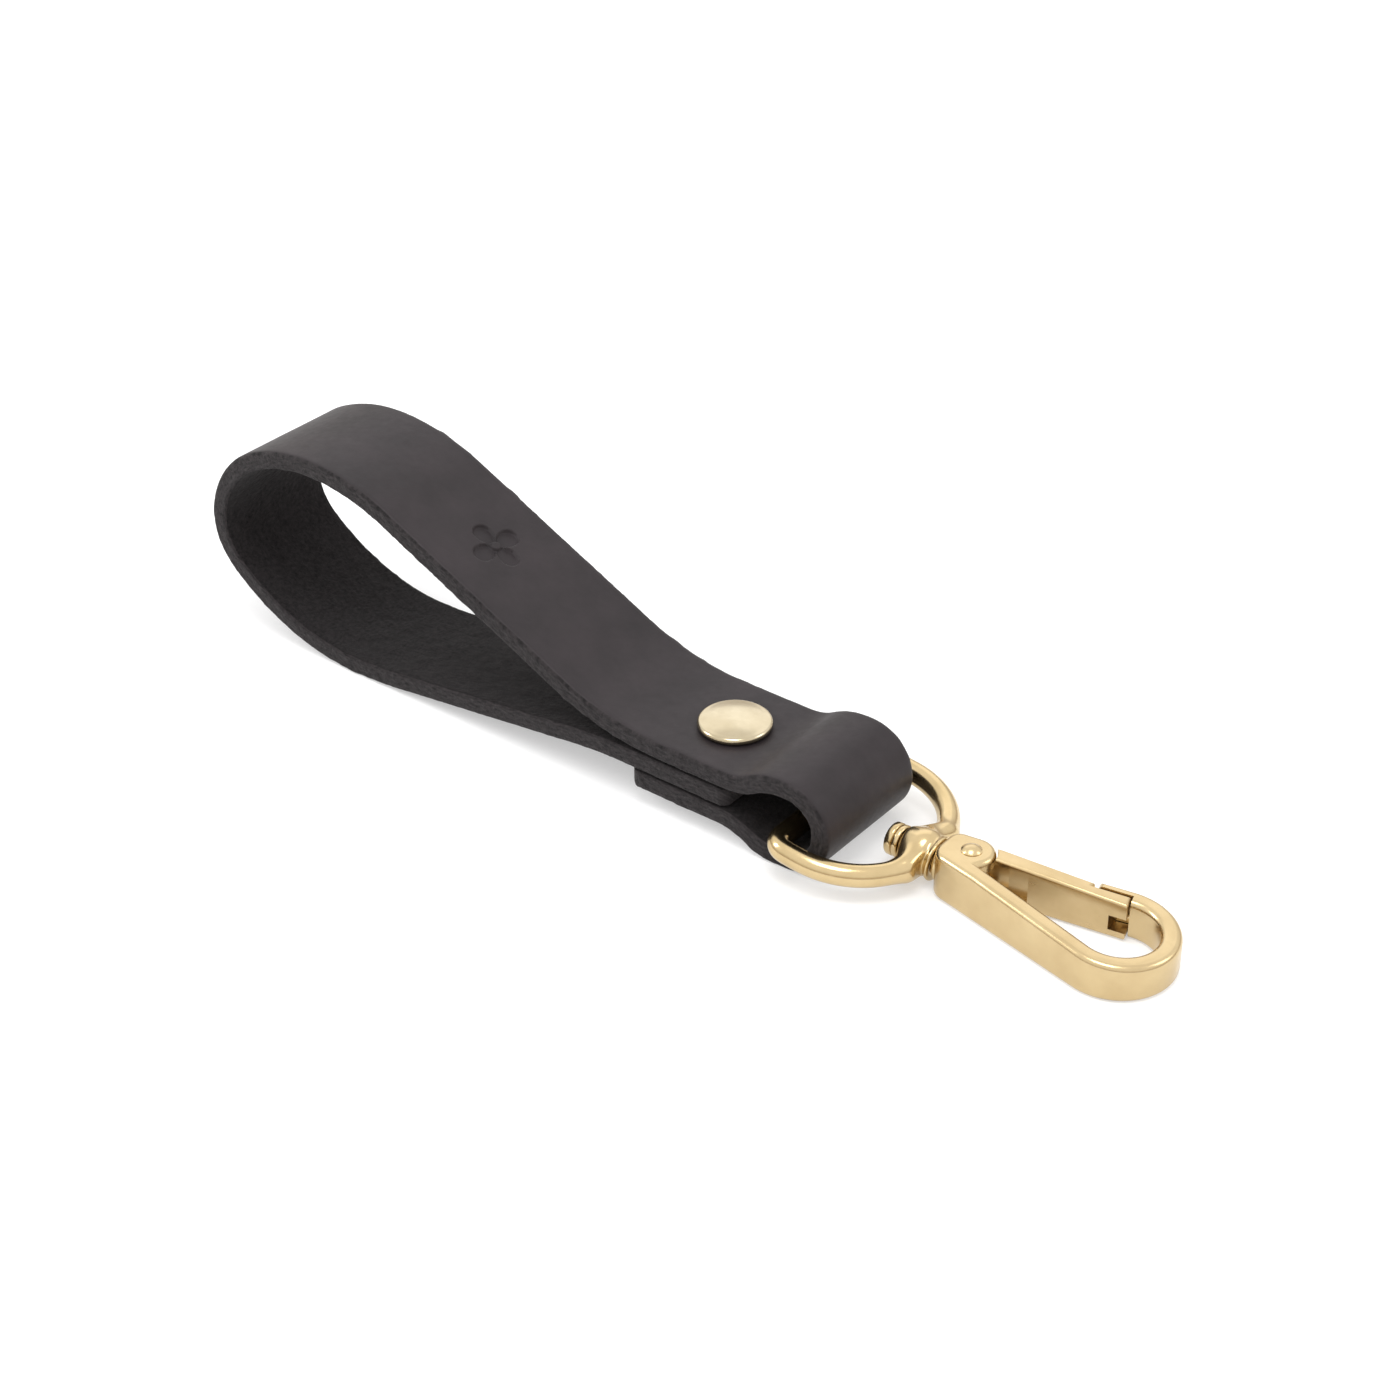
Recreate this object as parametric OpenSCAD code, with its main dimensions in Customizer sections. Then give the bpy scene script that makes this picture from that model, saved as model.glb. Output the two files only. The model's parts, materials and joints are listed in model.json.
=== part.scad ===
// Wristlet keychain: a folded leather wrist loop, a double cap rivet, a swivel D-ring and a
// snap hook with a sprung gate. Millimetres. X runs along the keychain from the wrist loop to
// the hook, Y across the strap, Z up from the table it lies on. The origin is the middle of the
// bounding box in X and Y, at table level. The swivel axis lies in the plane Y = 0.

/* [Strap] */
// Width of the leather strap across Y
strap_width = 19; // [16:0.5:24]
// Thickness of the leather
leather_thickness = 2.7; // [2.2:0.1:3.2]
// Sideways rest position of the strap inside the ring
strap_offset_y = -0.8; // [-0.8:0.05:0.8]
// Gap left between neighbouring leather layers under the rivet
layer_gap = 0.15; // [0.1:0.05:0.3]
// Height of the underside of the lowest layer above the table at the rivet
rivet_lift = 2.3; // [2:0.1:3]
// How far the strap's outer end reaches past the rivet, towards the wrist loop
flap_reach = 10; // [8:0.5:14]
// How far the strap's inner end reaches past the rivet, towards the ring
inner_end_reach = 5.8; // [5.2:0.1:6.5]

/* [Wrist loop] */
// Radius of the upward sweep beside the rivet
sweep_radius = 40; // [33:1:48]
// Steepest slope of the top run in degrees
slope_angle = 25.4; // [22:0.2:29]
// Length of the straight slope
slope_length = 32.7; // [28:0.5:40]
// Radius of the crown where the slope levels out
crown_radius = 33.2; // [28:0.5:40]
// Radius of the shoulder after the crown
shoulder_radius = 24.6; // [20:0.5:30]
// Turn of the shoulder in degrees
shoulder_angle = 25.8; // [20:0.5:30]
// Radius of the bend above the loop's end
brow_radius = 15.1; // [12:0.2:18]
// Turn of the bend above the loop's end in degrees
brow_angle = 47.4; // [40:0.5:52]
// Radius of the tight bend at the loop's end
nose_bend_radius = 8.8; // [7:0.2:11]
// Turn of the tight bend below the loop's end in degrees
chin_angle = 48.5; // [40:0.5:54]
// Radius of the shallow bend where the loop lifts off the table
keel_radius = 68; // [55:1:80]
// Slope of the lower run in degrees
floor_angle = 7.3; // [6.5:0.1:8.5]
// Radius of the bend that brings the lower run level under the rivet
rejoin_radius = 70; // [58:1:84]

/* [Ring fold] */
// Distance from the rivet to the centre of the fold
fold_reach = 15.1; // [14.5:0.1:18]
// Height of the fold over its outside
fold_height = 13.2; // [12.8:0.1:14.5]
// Half length of the level stretch on top of the rivet joint
seat_reach = 5.3; // [5.1:0.1:5.8]
// Half length of the level stretch under the rivet joint
under_seat_reach = 4.2; // [4.1:0.1:5]
// Bend angle of the upper shoulder of the fold in degrees
fold_top_angle = 31; // [28:1:34]
// Bend angle of the lower shoulder of the fold in degrees
fold_under_angle = 27; // [25:1:30]

/* [Rivet] */
// Diameter of the upper cap
top_cap_diameter = 9.9; // [8.8:0.1:10.2]
// Diameter of the lower cap
under_cap_diameter = 8; // [7:0.1:8.2]
// Height of the upper cap
top_cap_height = 1.5; // [1.3:0.05:1.8]
// Height of the lower cap
under_cap_height = 1.3; // [1.1:0.05:1.5]
// Wall of both cap shells
cap_wall = 0.35; // [0.3:0.01:0.4]
// Diameter of the hole through the leather
rivet_hole_diameter = 3.4; // [3.2:0.1:3.8]
// Outside diameter of the hollow socket
socket_diameter = 3.2; // [2.8:0.1:3.2]
// Diameter of the solid post
post_diameter = 2.1; // [1.8:0.1:2.3]
// Diameter of the flange that each shell is crimped around
flange_diameter = 6; // [5.4:0.1:6.2]

/* [Swivel ring] */
// Diameter of the ring wire
wire_diameter = 3; // [2.8:0.1:3.2]
// Clear play of the ring beside the strap, each side
ring_play = 1.3; // [1.3:0.05:1.6]
// Height of the ring bar above the table
bar_height = 4.8; // [4.6:0.05:5.2]
// Distance of the ring bar behind the centre of the fold
bar_setback = 0.5; // [0:0.1:0.8]
// Distance from the ring bar to the start of the front bow
bow_reach = 4.4; // [4.2:0.1:5.4]
// Half length of the straight stretch of the bow inside the boss
bow_front_half = 1.3; // [1:0.1:2]
// Bend radius of the two corners at the bar
corner_radius = 2.2; // [2:0.1:2.6]
// Radius of the barrel shaped boss
boss_radius = 3.1; // [2.9:0.05:3.3]
// Length of the boss
boss_length = 5.2; // [4.6:0.1:5.8]
// Radius of the boss at its inner end
boss_end_radius = 2.3; // [2.2:0.05:2.6]

/* [Swivel] */
// Diameter of the shank that turns in the boss
shank_diameter = 2.8; // [2.4:0.1:3]
// Running clearance of the shank, on the radius
swivel_clearance = 0.06; // [0.03:0.01:0.1]
// Diameter of the washer and the peened head
head_diameter = 4.4; // [4:0.1:4.6]
// Thickness of the washer
washer_thickness = 0.9; // [0.7:0.1:1.1]
// Length of the peened head
head_length = 1.1; // [0.9:0.1:1.3]
// Axial play between boss, hook and washer
end_play = 0.2; // [0.15:0.01:0.25]

/* [Hook] */
// Thickness of the hook at the swivel
hook_thickness = 6.6; // [6.2:0.1:7]
// Thickness of the hook at its round end
tip_thickness = 5; // [4.6:0.1:5.4]
// Distance from the swivel gap to the centre of the round end
hook_reach = 25.9; // [24:0.1:30]
// Outer radius of the round end
bend_radius = 7.7; // [7.3:0.1:8.2]
// Sideways position of the centre of the round end
bend_offset_y = -1; // [-1.2:0.05:-0.8]
// Width of the hook's section in plan
section_width = 2.6; // [2.4:0.05:2.8]
// Slope of the spine in degrees
spine_angle = 12.2; // [11.5:0.1:13]
// Distance from the swivel gap to the gate pin
pin_reach = 4.3; // [4.1:0.1:4.6]
// Radius of the ear around the gate pin
ear_radius = 3.1; // [3:0.05:3.2]
// Thickness of the thin lip that overlaps the end of the gate
lip_thickness = 0.9; // [0.8:0.05:1]
// Length of the lip
lip_length = 4.6; // [4:0.1:5]

/* [Gate] */
// Width of the gate bar in plan
gate_width = 2.3; // [2.1:0.05:2.5]
// Diameter of the gate pin
pin_diameter = 1.5; // [1.3:0.1:1.7]
// Running clearance of the gate on its pin, on the radius
pin_clearance = 0.05; // [0.03:0.01:0.08]
// Diameter of the domed head of the gate pin
pin_head_diameter = 2.8; // [2.5:0.1:3]
// Height of the domed head of the gate pin
pin_head_height = 0.6; // [0.5:0.05:0.8]
// Wire diameter of the gate spring
spring_wire = 0.4; // [0.35:0.05:0.45]

/* [Hidden] */
$fn = 96;

// Layer heights under the rivet
half_leather = leather_thickness / 2;
under_mid_z = rivet_lift + half_leather;
middle_mid_z = under_mid_z + leather_thickness + layer_gap;
top_mid_z = middle_mid_z + leather_thickness + layer_gap;
top_surface_z = top_mid_z + half_leather;

// Bends of the fold around the ring bar
fold_bend_radius = fold_height / 2 - half_leather;
under_bend_radius = rivet_lift / (2 * (1 - cos(fold_under_angle)));
under_bend_run = 2 * under_bend_radius * sin(fold_under_angle);
over_bend_radius = (fold_height - top_surface_z) / (2 * (1 - cos(fold_top_angle)));
over_bend_run = 2 * over_bend_radius * sin(fold_top_angle);

// Radius and length that close the wrist loop on the table and on the middle layer
crown_z = top_mid_z + (sweep_radius + crown_radius) * (1 - cos(slope_angle))
  + slope_length * sin(slope_angle);
brow_end = shoulder_angle + brow_angle;
waist_z = crown_z - shoulder_radius * (1 - cos(shoulder_angle))
  - brow_radius * (cos(shoulder_angle) - cos(brow_end)) - nose_bend_radius * cos(brow_end);
chin_z = waist_z - nose_bend_radius * sin(chin_angle);
belly_radius = (chin_z - half_leather) / (1 - sin(chin_angle));
floor_rise = middle_mid_z - half_leather;
floor_length = (floor_rise - (keel_radius + rejoin_radius) * (1 - cos(floor_angle)))
  / sin(floor_angle);

// The strap's centre line from its outer end to its inner end, in the X-Z plane with the rivet
// at X = 0, for a level stretch of a given length on the crown. Each entry is
// [bend radius or 0, turn in degrees, straight length].
run_start = [-flap_reach, under_mid_z];
function loop_runs(level) = [
  [0, 0, flap_reach + under_seat_reach],
  [under_bend_radius, -fold_under_angle, 0],
  [under_bend_radius, fold_under_angle, 0],
  [0, 0, fold_reach - under_seat_reach - under_bend_run],
  [fold_bend_radius, 180, 0],
  [0, 0, fold_reach - seat_reach - over_bend_run],
  [over_bend_radius, fold_top_angle, 0],
  [over_bend_radius, -fold_top_angle, 0],
  [0, 0, 2 * seat_reach],
  [sweep_radius, -slope_angle, 0],
  [0, 0, slope_length],
  [crown_radius, slope_angle, 0],
  [0, 0, level],
  [shoulder_radius, shoulder_angle, 0],
  [brow_radius, brow_angle, 0],
  [nose_bend_radius, 90 - brow_end, 0],
  [nose_bend_radius, chin_angle, 0],
  [belly_radius, 90 - chin_angle, 0],
  [keel_radius, floor_angle, 0],
  [0, 0, floor_length],
  [rejoin_radius, -floor_angle, 0],
];
WAIST = 16;
function heading_in(list, i) = i == 0 ? 0 : heading_in(list, i - 1) + list[i - 1][1];
function stride(h, run) = run[0] == 0
  ? run[2] * [cos(h), sin(h)]
  : sign(run[1]) * run[0] * [sin(h + run[1]) - sin(h), cos(h) - cos(h + run[1])];
function joint_in(list, i) = i == 0
  ? run_start
  : joint_in(list, i - 1) + stride(heading_in(list, i - 1), list[i - 1]);

// The lower run comes level at the strap's outer end or behind it: where it would come level
// further forward, the level stretch on the crown takes up the difference
RUNS = len(loop_runs(0));
throat_margin = 1;
throat_excess = joint_in(loop_runs(0), RUNS)[0] + flap_reach - throat_margin;
crown_level = max(0, throat_excess);
runs = loop_runs(crown_level);
function heading(i) = heading_in(runs, i);
function joint_at(i) = joint_in(runs, i);
tail_start = joint_at(RUNS);
tail_length = inner_end_reach - tail_start[0];
bend_step = 3;

// Rivet: shares of a cap's height and wall, and the gaps inside it
cap_roll_share = 0.32;
cap_seam = 0.01;
cap_hollow_rise = 0.1;
mouth_gap = 0.05;
socket_foot_gap = 0.4;
socket_bore_reach = 0.6;
socket_flange_share = 0.8;
post_end_gap = 0.8;
post_flange_share = 0.6;
post_flange_step = 0.8;

// Swivel ring
boss_groove = 0.35;
boss_flange = 0.8;
boss_neck = 0.6;
boss_shoulder = 1.5;
wire_radius = wire_diameter / 2;
ring_half = strap_width / 2 + ring_play + wire_radius;
bow_radius = ring_half - bow_front_half;
boss_face_margin = 0.3;
bar_to_boss = bow_reach + bow_radius + wire_radius + boss_face_margin - boss_length / 2;
axis_z = hook_thickness / 2;
ring_tilt = asin((bar_height - axis_z) / bar_to_boss);
bar_x = fold_reach - bar_setback;
boss_x = bar_x + bar_to_boss * cos(ring_tilt);
boss_front_x = boss_x + boss_length / 2;
boss_back_x = boss_x - boss_length / 2;
side_length = bow_reach - corner_radius;

// Swivel
shank_radius = shank_diameter / 2;
bore_radius = shank_radius + swivel_clearance;
head_radius = head_diameter / 2;
hook_x = boss_front_x + end_play;
washer_front_x = boss_back_x - end_play / 2;
washer_back_x = washer_front_x - washer_thickness;
head_back_x = washer_back_x - head_length;

// Hook, measured from the swivel gap
bend_centre = [hook_reach, bend_offset_y];
bend_inner_radius = bend_radius - section_width;
nose_angle = 14;
nose_start = bend_centre + bend_radius * [-sin(nose_angle), cos(nose_angle)];
spine_out = bend_centre + bend_radius * [-sin(spine_angle), -cos(spine_angle)];
lip_along = [-cos(nose_angle), -sin(nose_angle)];
lip_inward = [sin(nose_angle), -cos(nose_angle)];
lip_end = [
  nose_start + lip_length * lip_along,
  nose_start + lip_length * lip_along + lip_thickness * lip_inward,
  nose_start + lip_thickness * lip_inward
];
neck_radius = 3.1;
neck_length = 0.7;
heel_setback = 0.3;
heel_x = pin_reach - heel_setback;
heel_out = spine_out + (spine_out[0] - heel_x) / cos(spine_angle)
  * [-cos(spine_angle), sin(spine_angle)];
heel_in = heel_out + section_width * [sin(spine_angle), cos(spine_angle)];
collar_half = 2.75;
taper_start = pin_reach + ear_radius;
taper_end = hook_reach + bend_radius;

// Fork, gate and pin
pin_radius = pin_diameter / 2;
slot_half = 1.75;
knuckle_play = 0.1;
knuckle_half = slot_half - knuckle_play;
knuckle_radius = 2.3;
knuckle_gap = 0.3;
slot_radius = knuckle_radius + knuckle_gap;
gate_gap = 0.25;
gate_line_y = -0.3;
gate_floor = 0.15;
gate_end_gap = 0.2;
gate_lip_gap = 0.3;
gate_end_x = nose_start[0] - gate_end_gap;
gate_end_y = nose_start[1] - lip_thickness - gate_width - gate_lip_gap;
gate_angle = atan((gate_end_y - gate_line_y) / (gate_end_x - pin_reach));
step_depth = 0.35;
step_gap = 0.35;
gate_top_drop = 0.05;
knuckle_arm = 1.5;
slot_depth = 1.9;
slot_reach = 2;
cut_margin = 1;
spring_gap = 0.1;
spring_radius = pin_radius + spring_gap + spring_wire / 2;
spring_turns = 4;
coil_pitch_share = 0.98;
pocket_gap = 0.25;
spring_pocket_radius = spring_radius + spring_wire / 2 + pocket_gap;
spring_pocket_half = spring_turns * spring_wire / 2 + spring_gap;
pin_foot = 0.05;
tongue_half = 0.55;
tongue_width = 0.8;
tongue_length = 1.1;
tongue_root = 0.5;
notch_half = 1.15;
notch_depth = 1.9;
notch_z = 2.3;

// Shift that puts the middle of the bounding box at X = 0
loop_end_x = joint_at(WAIST)[0] - half_leather;
hook_end_x = hook_x + hook_reach + bend_radius;
rivet_x = -(loop_end_x + hook_end_x) / 2;
ring_y = 0;

LEATHER = [0.16, 0.15, 0.15];
BRASS = [0.83, 0.7, 0.45];
PALE = [0.88, 0.8, 0.62];
STEEL = [0.7, 0.7, 0.72];

// Points along one side of a run, a little apart on the bends; side is -1, 0 or 1
function run_side(i, side) = let(
  h = heading(i),
  at = joint_at(i),
  run = runs[i],
  steps = ceil(abs(run[1]) / bend_step)
) run[0] == 0 ? [at + side * half_leather * [-sin(h), cos(h)]] : [
  for (k = [0 : steps - 1]) let(part = [run[0], run[1] * k / steps], turned = h + part[1])
    at + stride(h, part) + side * half_leather * [-sin(turned), cos(turned)]
];
function strap_side(side) = [
  for (i = [0 : RUNS - 1]) if (runs[i][0] > 0 || runs[i][2] > 0) each run_side(i, side)
];
// Points along the round end, from the spine to the nose
function bend_arc(radius) = let(
  first = -90 - spine_angle,
  sweep = 180 + spine_angle + nose_angle,
  steps = ceil(sweep / bend_step)
) [
  for (k = [0 : steps]) let(a = first + sweep * k / steps)
    bend_centre + radius * [cos(a), sin(a)]
];
function backwards(list) = [for (i = [len(list) - 1 : -1 : 0]) list[i]];
strap_tail = [
  tail_start + [0, half_leather],
  tail_start + [tail_length, half_leather],
  tail_start + [tail_length, -half_leather],
  tail_start - [0, half_leather]
];

module leather_strap() {
  color(LEATHER) {
    translate([rivet_x, strap_offset_y, 0]) {
      difference() {
        rotate([90, 0, 0]) {
          linear_extrude(height = strap_width, center = true) {
            polygon(concat(strap_side(1), strap_tail, backwards(strap_side(-1))));
          }
        }
        cylinder(d = rivet_hole_diameter, h = fold_height);
      }
    }
  }
}

// Domed shell, open underneath, with its mouth on Z = 0
module cap_shell(diameter, height, mouth) {
  roll = height * cap_roll_share;
  rim = diameter / 2 - roll;
  crown = height - 2 * roll;
  dome = (rim * rim + crown * crown) / (2 * crown);
  difference() {
    union() {
      rotate_extrude() {
        intersection() {
          union() {
            translate([rim, roll]) {
              circle(r = roll);
            }
            square([rim, 2 * roll]);
          }
          square([diameter, diameter]);
        }
      }
      intersection() {
        translate([0, 0, height - dome]) {
          sphere(r = dome);
        }
        translate([0, 0, 2 * roll - cap_seam]) {
          cylinder(r = rim, h = height);
        }
      }
    }
    translate([0, 0, cap_wall]) {
      cylinder(r = rim, h = 2 * roll - 2 * cap_wall + cap_hollow_rise);
    }
    translate([0, 0, -1]) {
      cylinder(r = mouth, h = 1 + 2 * cap_wall);
    }
  }
}

module rivet_top_cap() {
  color(PALE) {
    translate([rivet_x, strap_offset_y, top_surface_z]) {
      cap_shell(top_cap_diameter, top_cap_height, socket_diameter / 2 + mouth_gap);
    }
  }
}

module rivet_under_cap() {
  color(PALE) {
    translate([rivet_x, strap_offset_y, rivet_lift]) {
      mirror([0, 0, 1]) {
        cap_shell(under_cap_diameter, under_cap_height, post_diameter / 2 + mouth_gap);
      }
    }
  }
}

module rivet_socket() {
  depth = top_surface_z - rivet_lift - socket_foot_gap;
  color(STEEL) {
    translate([rivet_x, strap_offset_y, top_surface_z + cap_wall]) {
      difference() {
        union() {
          cylinder(d = flange_diameter, h = cap_wall * socket_flange_share);
          translate([0, 0, -depth]) {
            cylinder(d = socket_diameter, h = depth);
          }
        }
        translate([0, 0, -depth - 1]) {
          cylinder(d = post_diameter, h = depth + socket_bore_reach);
        }
      }
    }
  }
}

module rivet_post() {
  reach = top_surface_z - rivet_lift - post_end_gap;
  color(STEEL) {
    translate([rivet_x, strap_offset_y, rivet_lift - cap_wall]) {
      translate([0, 0, -cap_wall * post_flange_share]) {
        cylinder(d = flange_diameter - post_flange_step, h = cap_wall * post_flange_share);
      }
      cylinder(d = post_diameter, h = reach);
    }
  }
}

// Quarter bend of the ring wire around a centre, from the start angle
module wire_bend(centre, radius, start) {
  translate(centre) {
    rotate([0, 0, start]) {
      rotate_extrude(angle = 90) {
        translate([radius, 0]) {
          circle(r = wire_radius);
        }
      }
    }
  }
}

// Straight stretch of the ring wire from a point, along X or along Y
module wire_straight(from, length, turn) {
  translate(from) {
    rotate([0, 90, turn]) {
      cylinder(r = wire_radius, h = length);
    }
  }
}

// Ring wire in the X-Y plane, with the boss centre at the origin
module ring_wire() {
  bar_half = ring_half - corner_radius;
  front_x = bow_reach + bow_radius;
  translate([-bar_to_boss, 0, 0]) {
    wire_straight([0, -bar_half, 0], 2 * bar_half, 90);
    wire_straight([front_x, -bow_front_half, 0], 2 * bow_front_half, 90);
    for (side = [-1, 1]) {
      wire_bend([corner_radius, side * bar_half, 0], corner_radius, side > 0 ? 90 : 180);
      wire_straight([corner_radius, side * ring_half, 0], side_length, 0);
      wire_bend([bow_reach, side * bow_front_half, 0], bow_radius, side > 0 ? 0 : -90);
    }
  }
}

module boss_solid() {
  flange = boss_flange;
  neck = boss_neck;
  shoulder = boss_shoulder;
  barrel = boss_length - shoulder - neck - flange;
  rotate([0, 90, 0]) {
    cylinder(r1 = boss_end_radius, r2 = boss_radius, h = shoulder);
    translate([0, 0, shoulder]) {
      cylinder(r = boss_radius, h = barrel);
    }
    translate([0, 0, shoulder + barrel]) {
      cylinder(r1 = boss_radius, r2 = boss_radius - boss_groove, h = neck);
    }
    translate([0, 0, boss_length - flange]) {
      cylinder(r = boss_radius, h = flange);
    }
  }
}

module swivel_ring() {
  color(BRASS) {
    translate([rivet_x, ring_y, axis_z]) {
      difference() {
        union() {
          translate([boss_x, 0, 0]) {
            rotate([0, ring_tilt, 0]) {
              ring_wire();
            }
          }
          translate([boss_back_x, 0, 0]) {
            boss_solid();
          }
        }
        translate([boss_back_x - 1, 0, 0]) {
          rotate([0, 90, 0]) {
            cylinder(r = bore_radius, h = boss_length + 2);
          }
        }
      }
    }
  }
}

module swivel_washer() {
  color(BRASS) {
    translate([rivet_x + washer_back_x, ring_y, axis_z]) {
      rotate([0, 90, 0]) {
        difference() {
          cylinder(r = head_radius, h = washer_thickness);
          translate([0, 0, -1]) {
            cylinder(r = shank_radius, h = washer_thickness + 2);
          }
        }
      }
    }
  }
}

// Spine, round end, nose, lip and ear of the hook in plan, from the swivel gap
module hook_plan() {
  polygon(concat(
    [[neck_length, -collar_half], heel_out],
    bend_arc(bend_radius),
    lip_end,
    backwards(bend_arc(bend_inner_radius)),
    [heel_in, [pin_reach, ear_radius], [neck_length, collar_half]]
  ));
  translate([pin_reach, 0]) {
    circle(r = ear_radius);
  }
}

// Everything below the sloping top face, in the hook's own frame
module top_wedge(floor_z, drop) {
  rotate([90, 0, 0]) {
    translate([0, 0, -bend_radius * 2]) {
      linear_extrude(height = bend_radius * 4) {
        polygon([
          [-1, floor_z],
          [taper_end + 1, floor_z],
          [taper_end + 1, tip_thickness - drop],
          [taper_end, tip_thickness - drop],
          [taper_start, hook_thickness - drop],
          [-1, hook_thickness - drop]
        ]);
      }
    }
  }
}

module hook_body() {
  color(BRASS) {
    translate([rivet_x + hook_x, ring_y, 0]) {
      difference() {
        union() {
          intersection() {
            linear_extrude(height = hook_thickness) {
              hook_plan();
            }
            top_wedge(0, 0);
          }
          translate([0, 0, axis_z]) {
            rotate([0, 90, 0]) {
              cylinder(r = neck_radius, h = neck_length);
            }
          }
          translate([head_back_x - hook_x, 0, axis_z]) {
            rotate([0, 90, 0]) {
              cylinder(r = shank_radius, h = hook_x - head_back_x + neck_length);
              cylinder(r = head_radius, h = head_length);
            }
          }
          tongue();
        }
        fork_slot();
        translate([pin_reach, 0, -cut_margin]) {
          cylinder(r = pin_radius, h = hook_thickness + 2 * cut_margin);
        }
      }
    }
  }
}

// Small T-shaped tongue on the end face of the nose
module tongue() {
  middle = bend_radius - section_width / 2;
  translate([bend_centre[0], bend_centre[1], notch_z]) {
    rotate([0, 0, 90 + nose_angle]) {
      translate([middle - tongue_width / 2, -tongue_root, -tongue_half]) {
        cube([tongue_width, tongue_length + tongue_root, 2 * tongue_half]);
      }
    }
  }
}

// Space between the two ears of the fork
module fork_slot() {
  translate([pin_reach, 0, axis_z - slot_half]) {
    cylinder(r = slot_radius, h = 2 * slot_half);
    translate([0, -slot_depth, 0]) {
      cube([ear_radius + slot_reach, slot_depth + ear_radius + slot_reach, 2 * slot_half]);
    }
  }
}

// Outline of the gate bar: inner line, outer line and the step under the lip
module gate_plan() {
  lean = tan(gate_angle);
  wide = gate_width / cos(gate_angle);
  step_x = nose_start[0] - lip_length * cos(nose_angle) - step_gap;
  polygon([
    [pin_reach, gate_line_y],
    [gate_end_x, gate_line_y + (gate_end_x - pin_reach) * lean],
    [gate_end_x, gate_line_y + (gate_end_x - pin_reach) * lean + wide - step_depth],
    [step_x, gate_line_y + (step_x - pin_reach) * lean + wide - step_depth],
    [step_x, gate_line_y + (step_x - pin_reach) * lean + wide],
    [pin_reach, gate_line_y + wide]
  ]);
}

module gate() {
  color(BRASS) {
    translate([rivet_x + hook_x, ring_y, 0]) {
      difference() {
        union() {
          difference() {
            intersection() {
              linear_extrude(height = hook_thickness) {
                gate_plan();
              }
              top_wedge(gate_floor, gate_top_drop);
            }
            translate([pin_reach, 0, -cut_margin]) {
              cylinder(r = ear_radius + gate_gap, h = hook_thickness + 2 * cut_margin);
            }
          }
          translate([0, 0, axis_z - knuckle_half]) {
            linear_extrude(height = 2 * knuckle_half) {
              intersection() {
                gate_plan();
                translate([pin_reach, 0]) {
                  circle(r = ear_radius + knuckle_arm);
                }
              }
            }
            translate([pin_reach, 0, 0]) {
              cylinder(r = knuckle_radius, h = 2 * knuckle_half);
            }
          }
        }
        translate([pin_reach, 0, -cut_margin]) {
          cylinder(r = pin_radius + pin_clearance, h = hook_thickness + 2 * cut_margin);
        }
        translate([pin_reach, 0, axis_z - spring_pocket_half]) {
          cylinder(r = spring_pocket_radius, h = 2 * spring_pocket_half);
        }
        translate([gate_end_x - notch_depth, 0, notch_z - notch_half]) {
          cube([notch_depth + 1, bend_radius, 2 * notch_half]);
        }
      }
    }
  }
}

module gate_pin() {
  dome = (pow(pin_head_diameter / 2, 2) + pow(pin_head_height, 2)) / (2 * pin_head_height);
  color(BRASS) {
    translate([rivet_x + hook_x + pin_reach, ring_y, 0]) {
      translate([0, 0, pin_foot]) {
        cylinder(r = pin_radius, h = hook_thickness - pin_foot);
      }
      intersection() {
        translate([0, 0, hook_thickness + pin_head_height - dome]) {
          sphere(r = dome);
        }
        translate([0, 0, hook_thickness]) {
          cylinder(d = pin_head_diameter, h = pin_head_height);
        }
      }
    }
  }
}

// Close-wound torsion coil around the gate pin
module gate_spring() {
  color(STEEL) {
    translate([rivet_x + hook_x + pin_reach, ring_y, axis_z]) {
      translate([0, 0, -(spring_turns - 1) * spring_wire / 2]) {
        for (turn = [0 : spring_turns - 1]) {
          translate([0, 0, turn * spring_wire * coil_pitch_share]) {
            rotate_extrude() {
              translate([spring_radius, 0]) {
                circle(d = spring_wire);
              }
            }
          }
        }
      }
    }
  }
}

leather_strap();
rivet_top_cap();
rivet_socket();
rivet_under_cap();
rivet_post();
swivel_ring();
swivel_washer();
hook_body();
gate();
gate_pin();
gate_spring();
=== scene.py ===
"""Studio scene of a wristlet keychain: leather loop, cap rivet, swivel ring and snap hook.

Everything is in metres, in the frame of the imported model: X runs from the wrist loop to the
hook, Y across the strap, Z up from the table.
"""
import json
import logging
import math
from dataclasses import dataclass, field
from enum import Enum
from typing import Iterable, Optional, Sequence

import bmesh
import bpy
from mathutils import Matrix, Vector, noise


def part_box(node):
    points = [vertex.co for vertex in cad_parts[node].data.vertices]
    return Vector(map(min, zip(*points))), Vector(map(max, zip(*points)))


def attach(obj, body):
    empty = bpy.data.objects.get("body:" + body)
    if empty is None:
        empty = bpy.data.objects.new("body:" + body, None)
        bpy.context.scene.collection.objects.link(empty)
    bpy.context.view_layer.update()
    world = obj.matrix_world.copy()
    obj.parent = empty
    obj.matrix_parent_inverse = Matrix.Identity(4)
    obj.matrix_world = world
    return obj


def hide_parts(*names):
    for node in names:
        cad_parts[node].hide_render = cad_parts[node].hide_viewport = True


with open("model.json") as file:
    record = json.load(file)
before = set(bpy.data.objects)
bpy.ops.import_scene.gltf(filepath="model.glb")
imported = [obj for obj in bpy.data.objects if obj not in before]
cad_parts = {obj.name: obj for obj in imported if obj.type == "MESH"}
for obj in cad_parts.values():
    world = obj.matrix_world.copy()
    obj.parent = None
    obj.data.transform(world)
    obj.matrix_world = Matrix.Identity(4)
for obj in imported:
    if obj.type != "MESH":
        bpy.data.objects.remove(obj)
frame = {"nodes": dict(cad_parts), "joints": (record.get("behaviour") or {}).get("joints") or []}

LOG = logging.getLogger("keychain")
MM = 0.001
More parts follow.
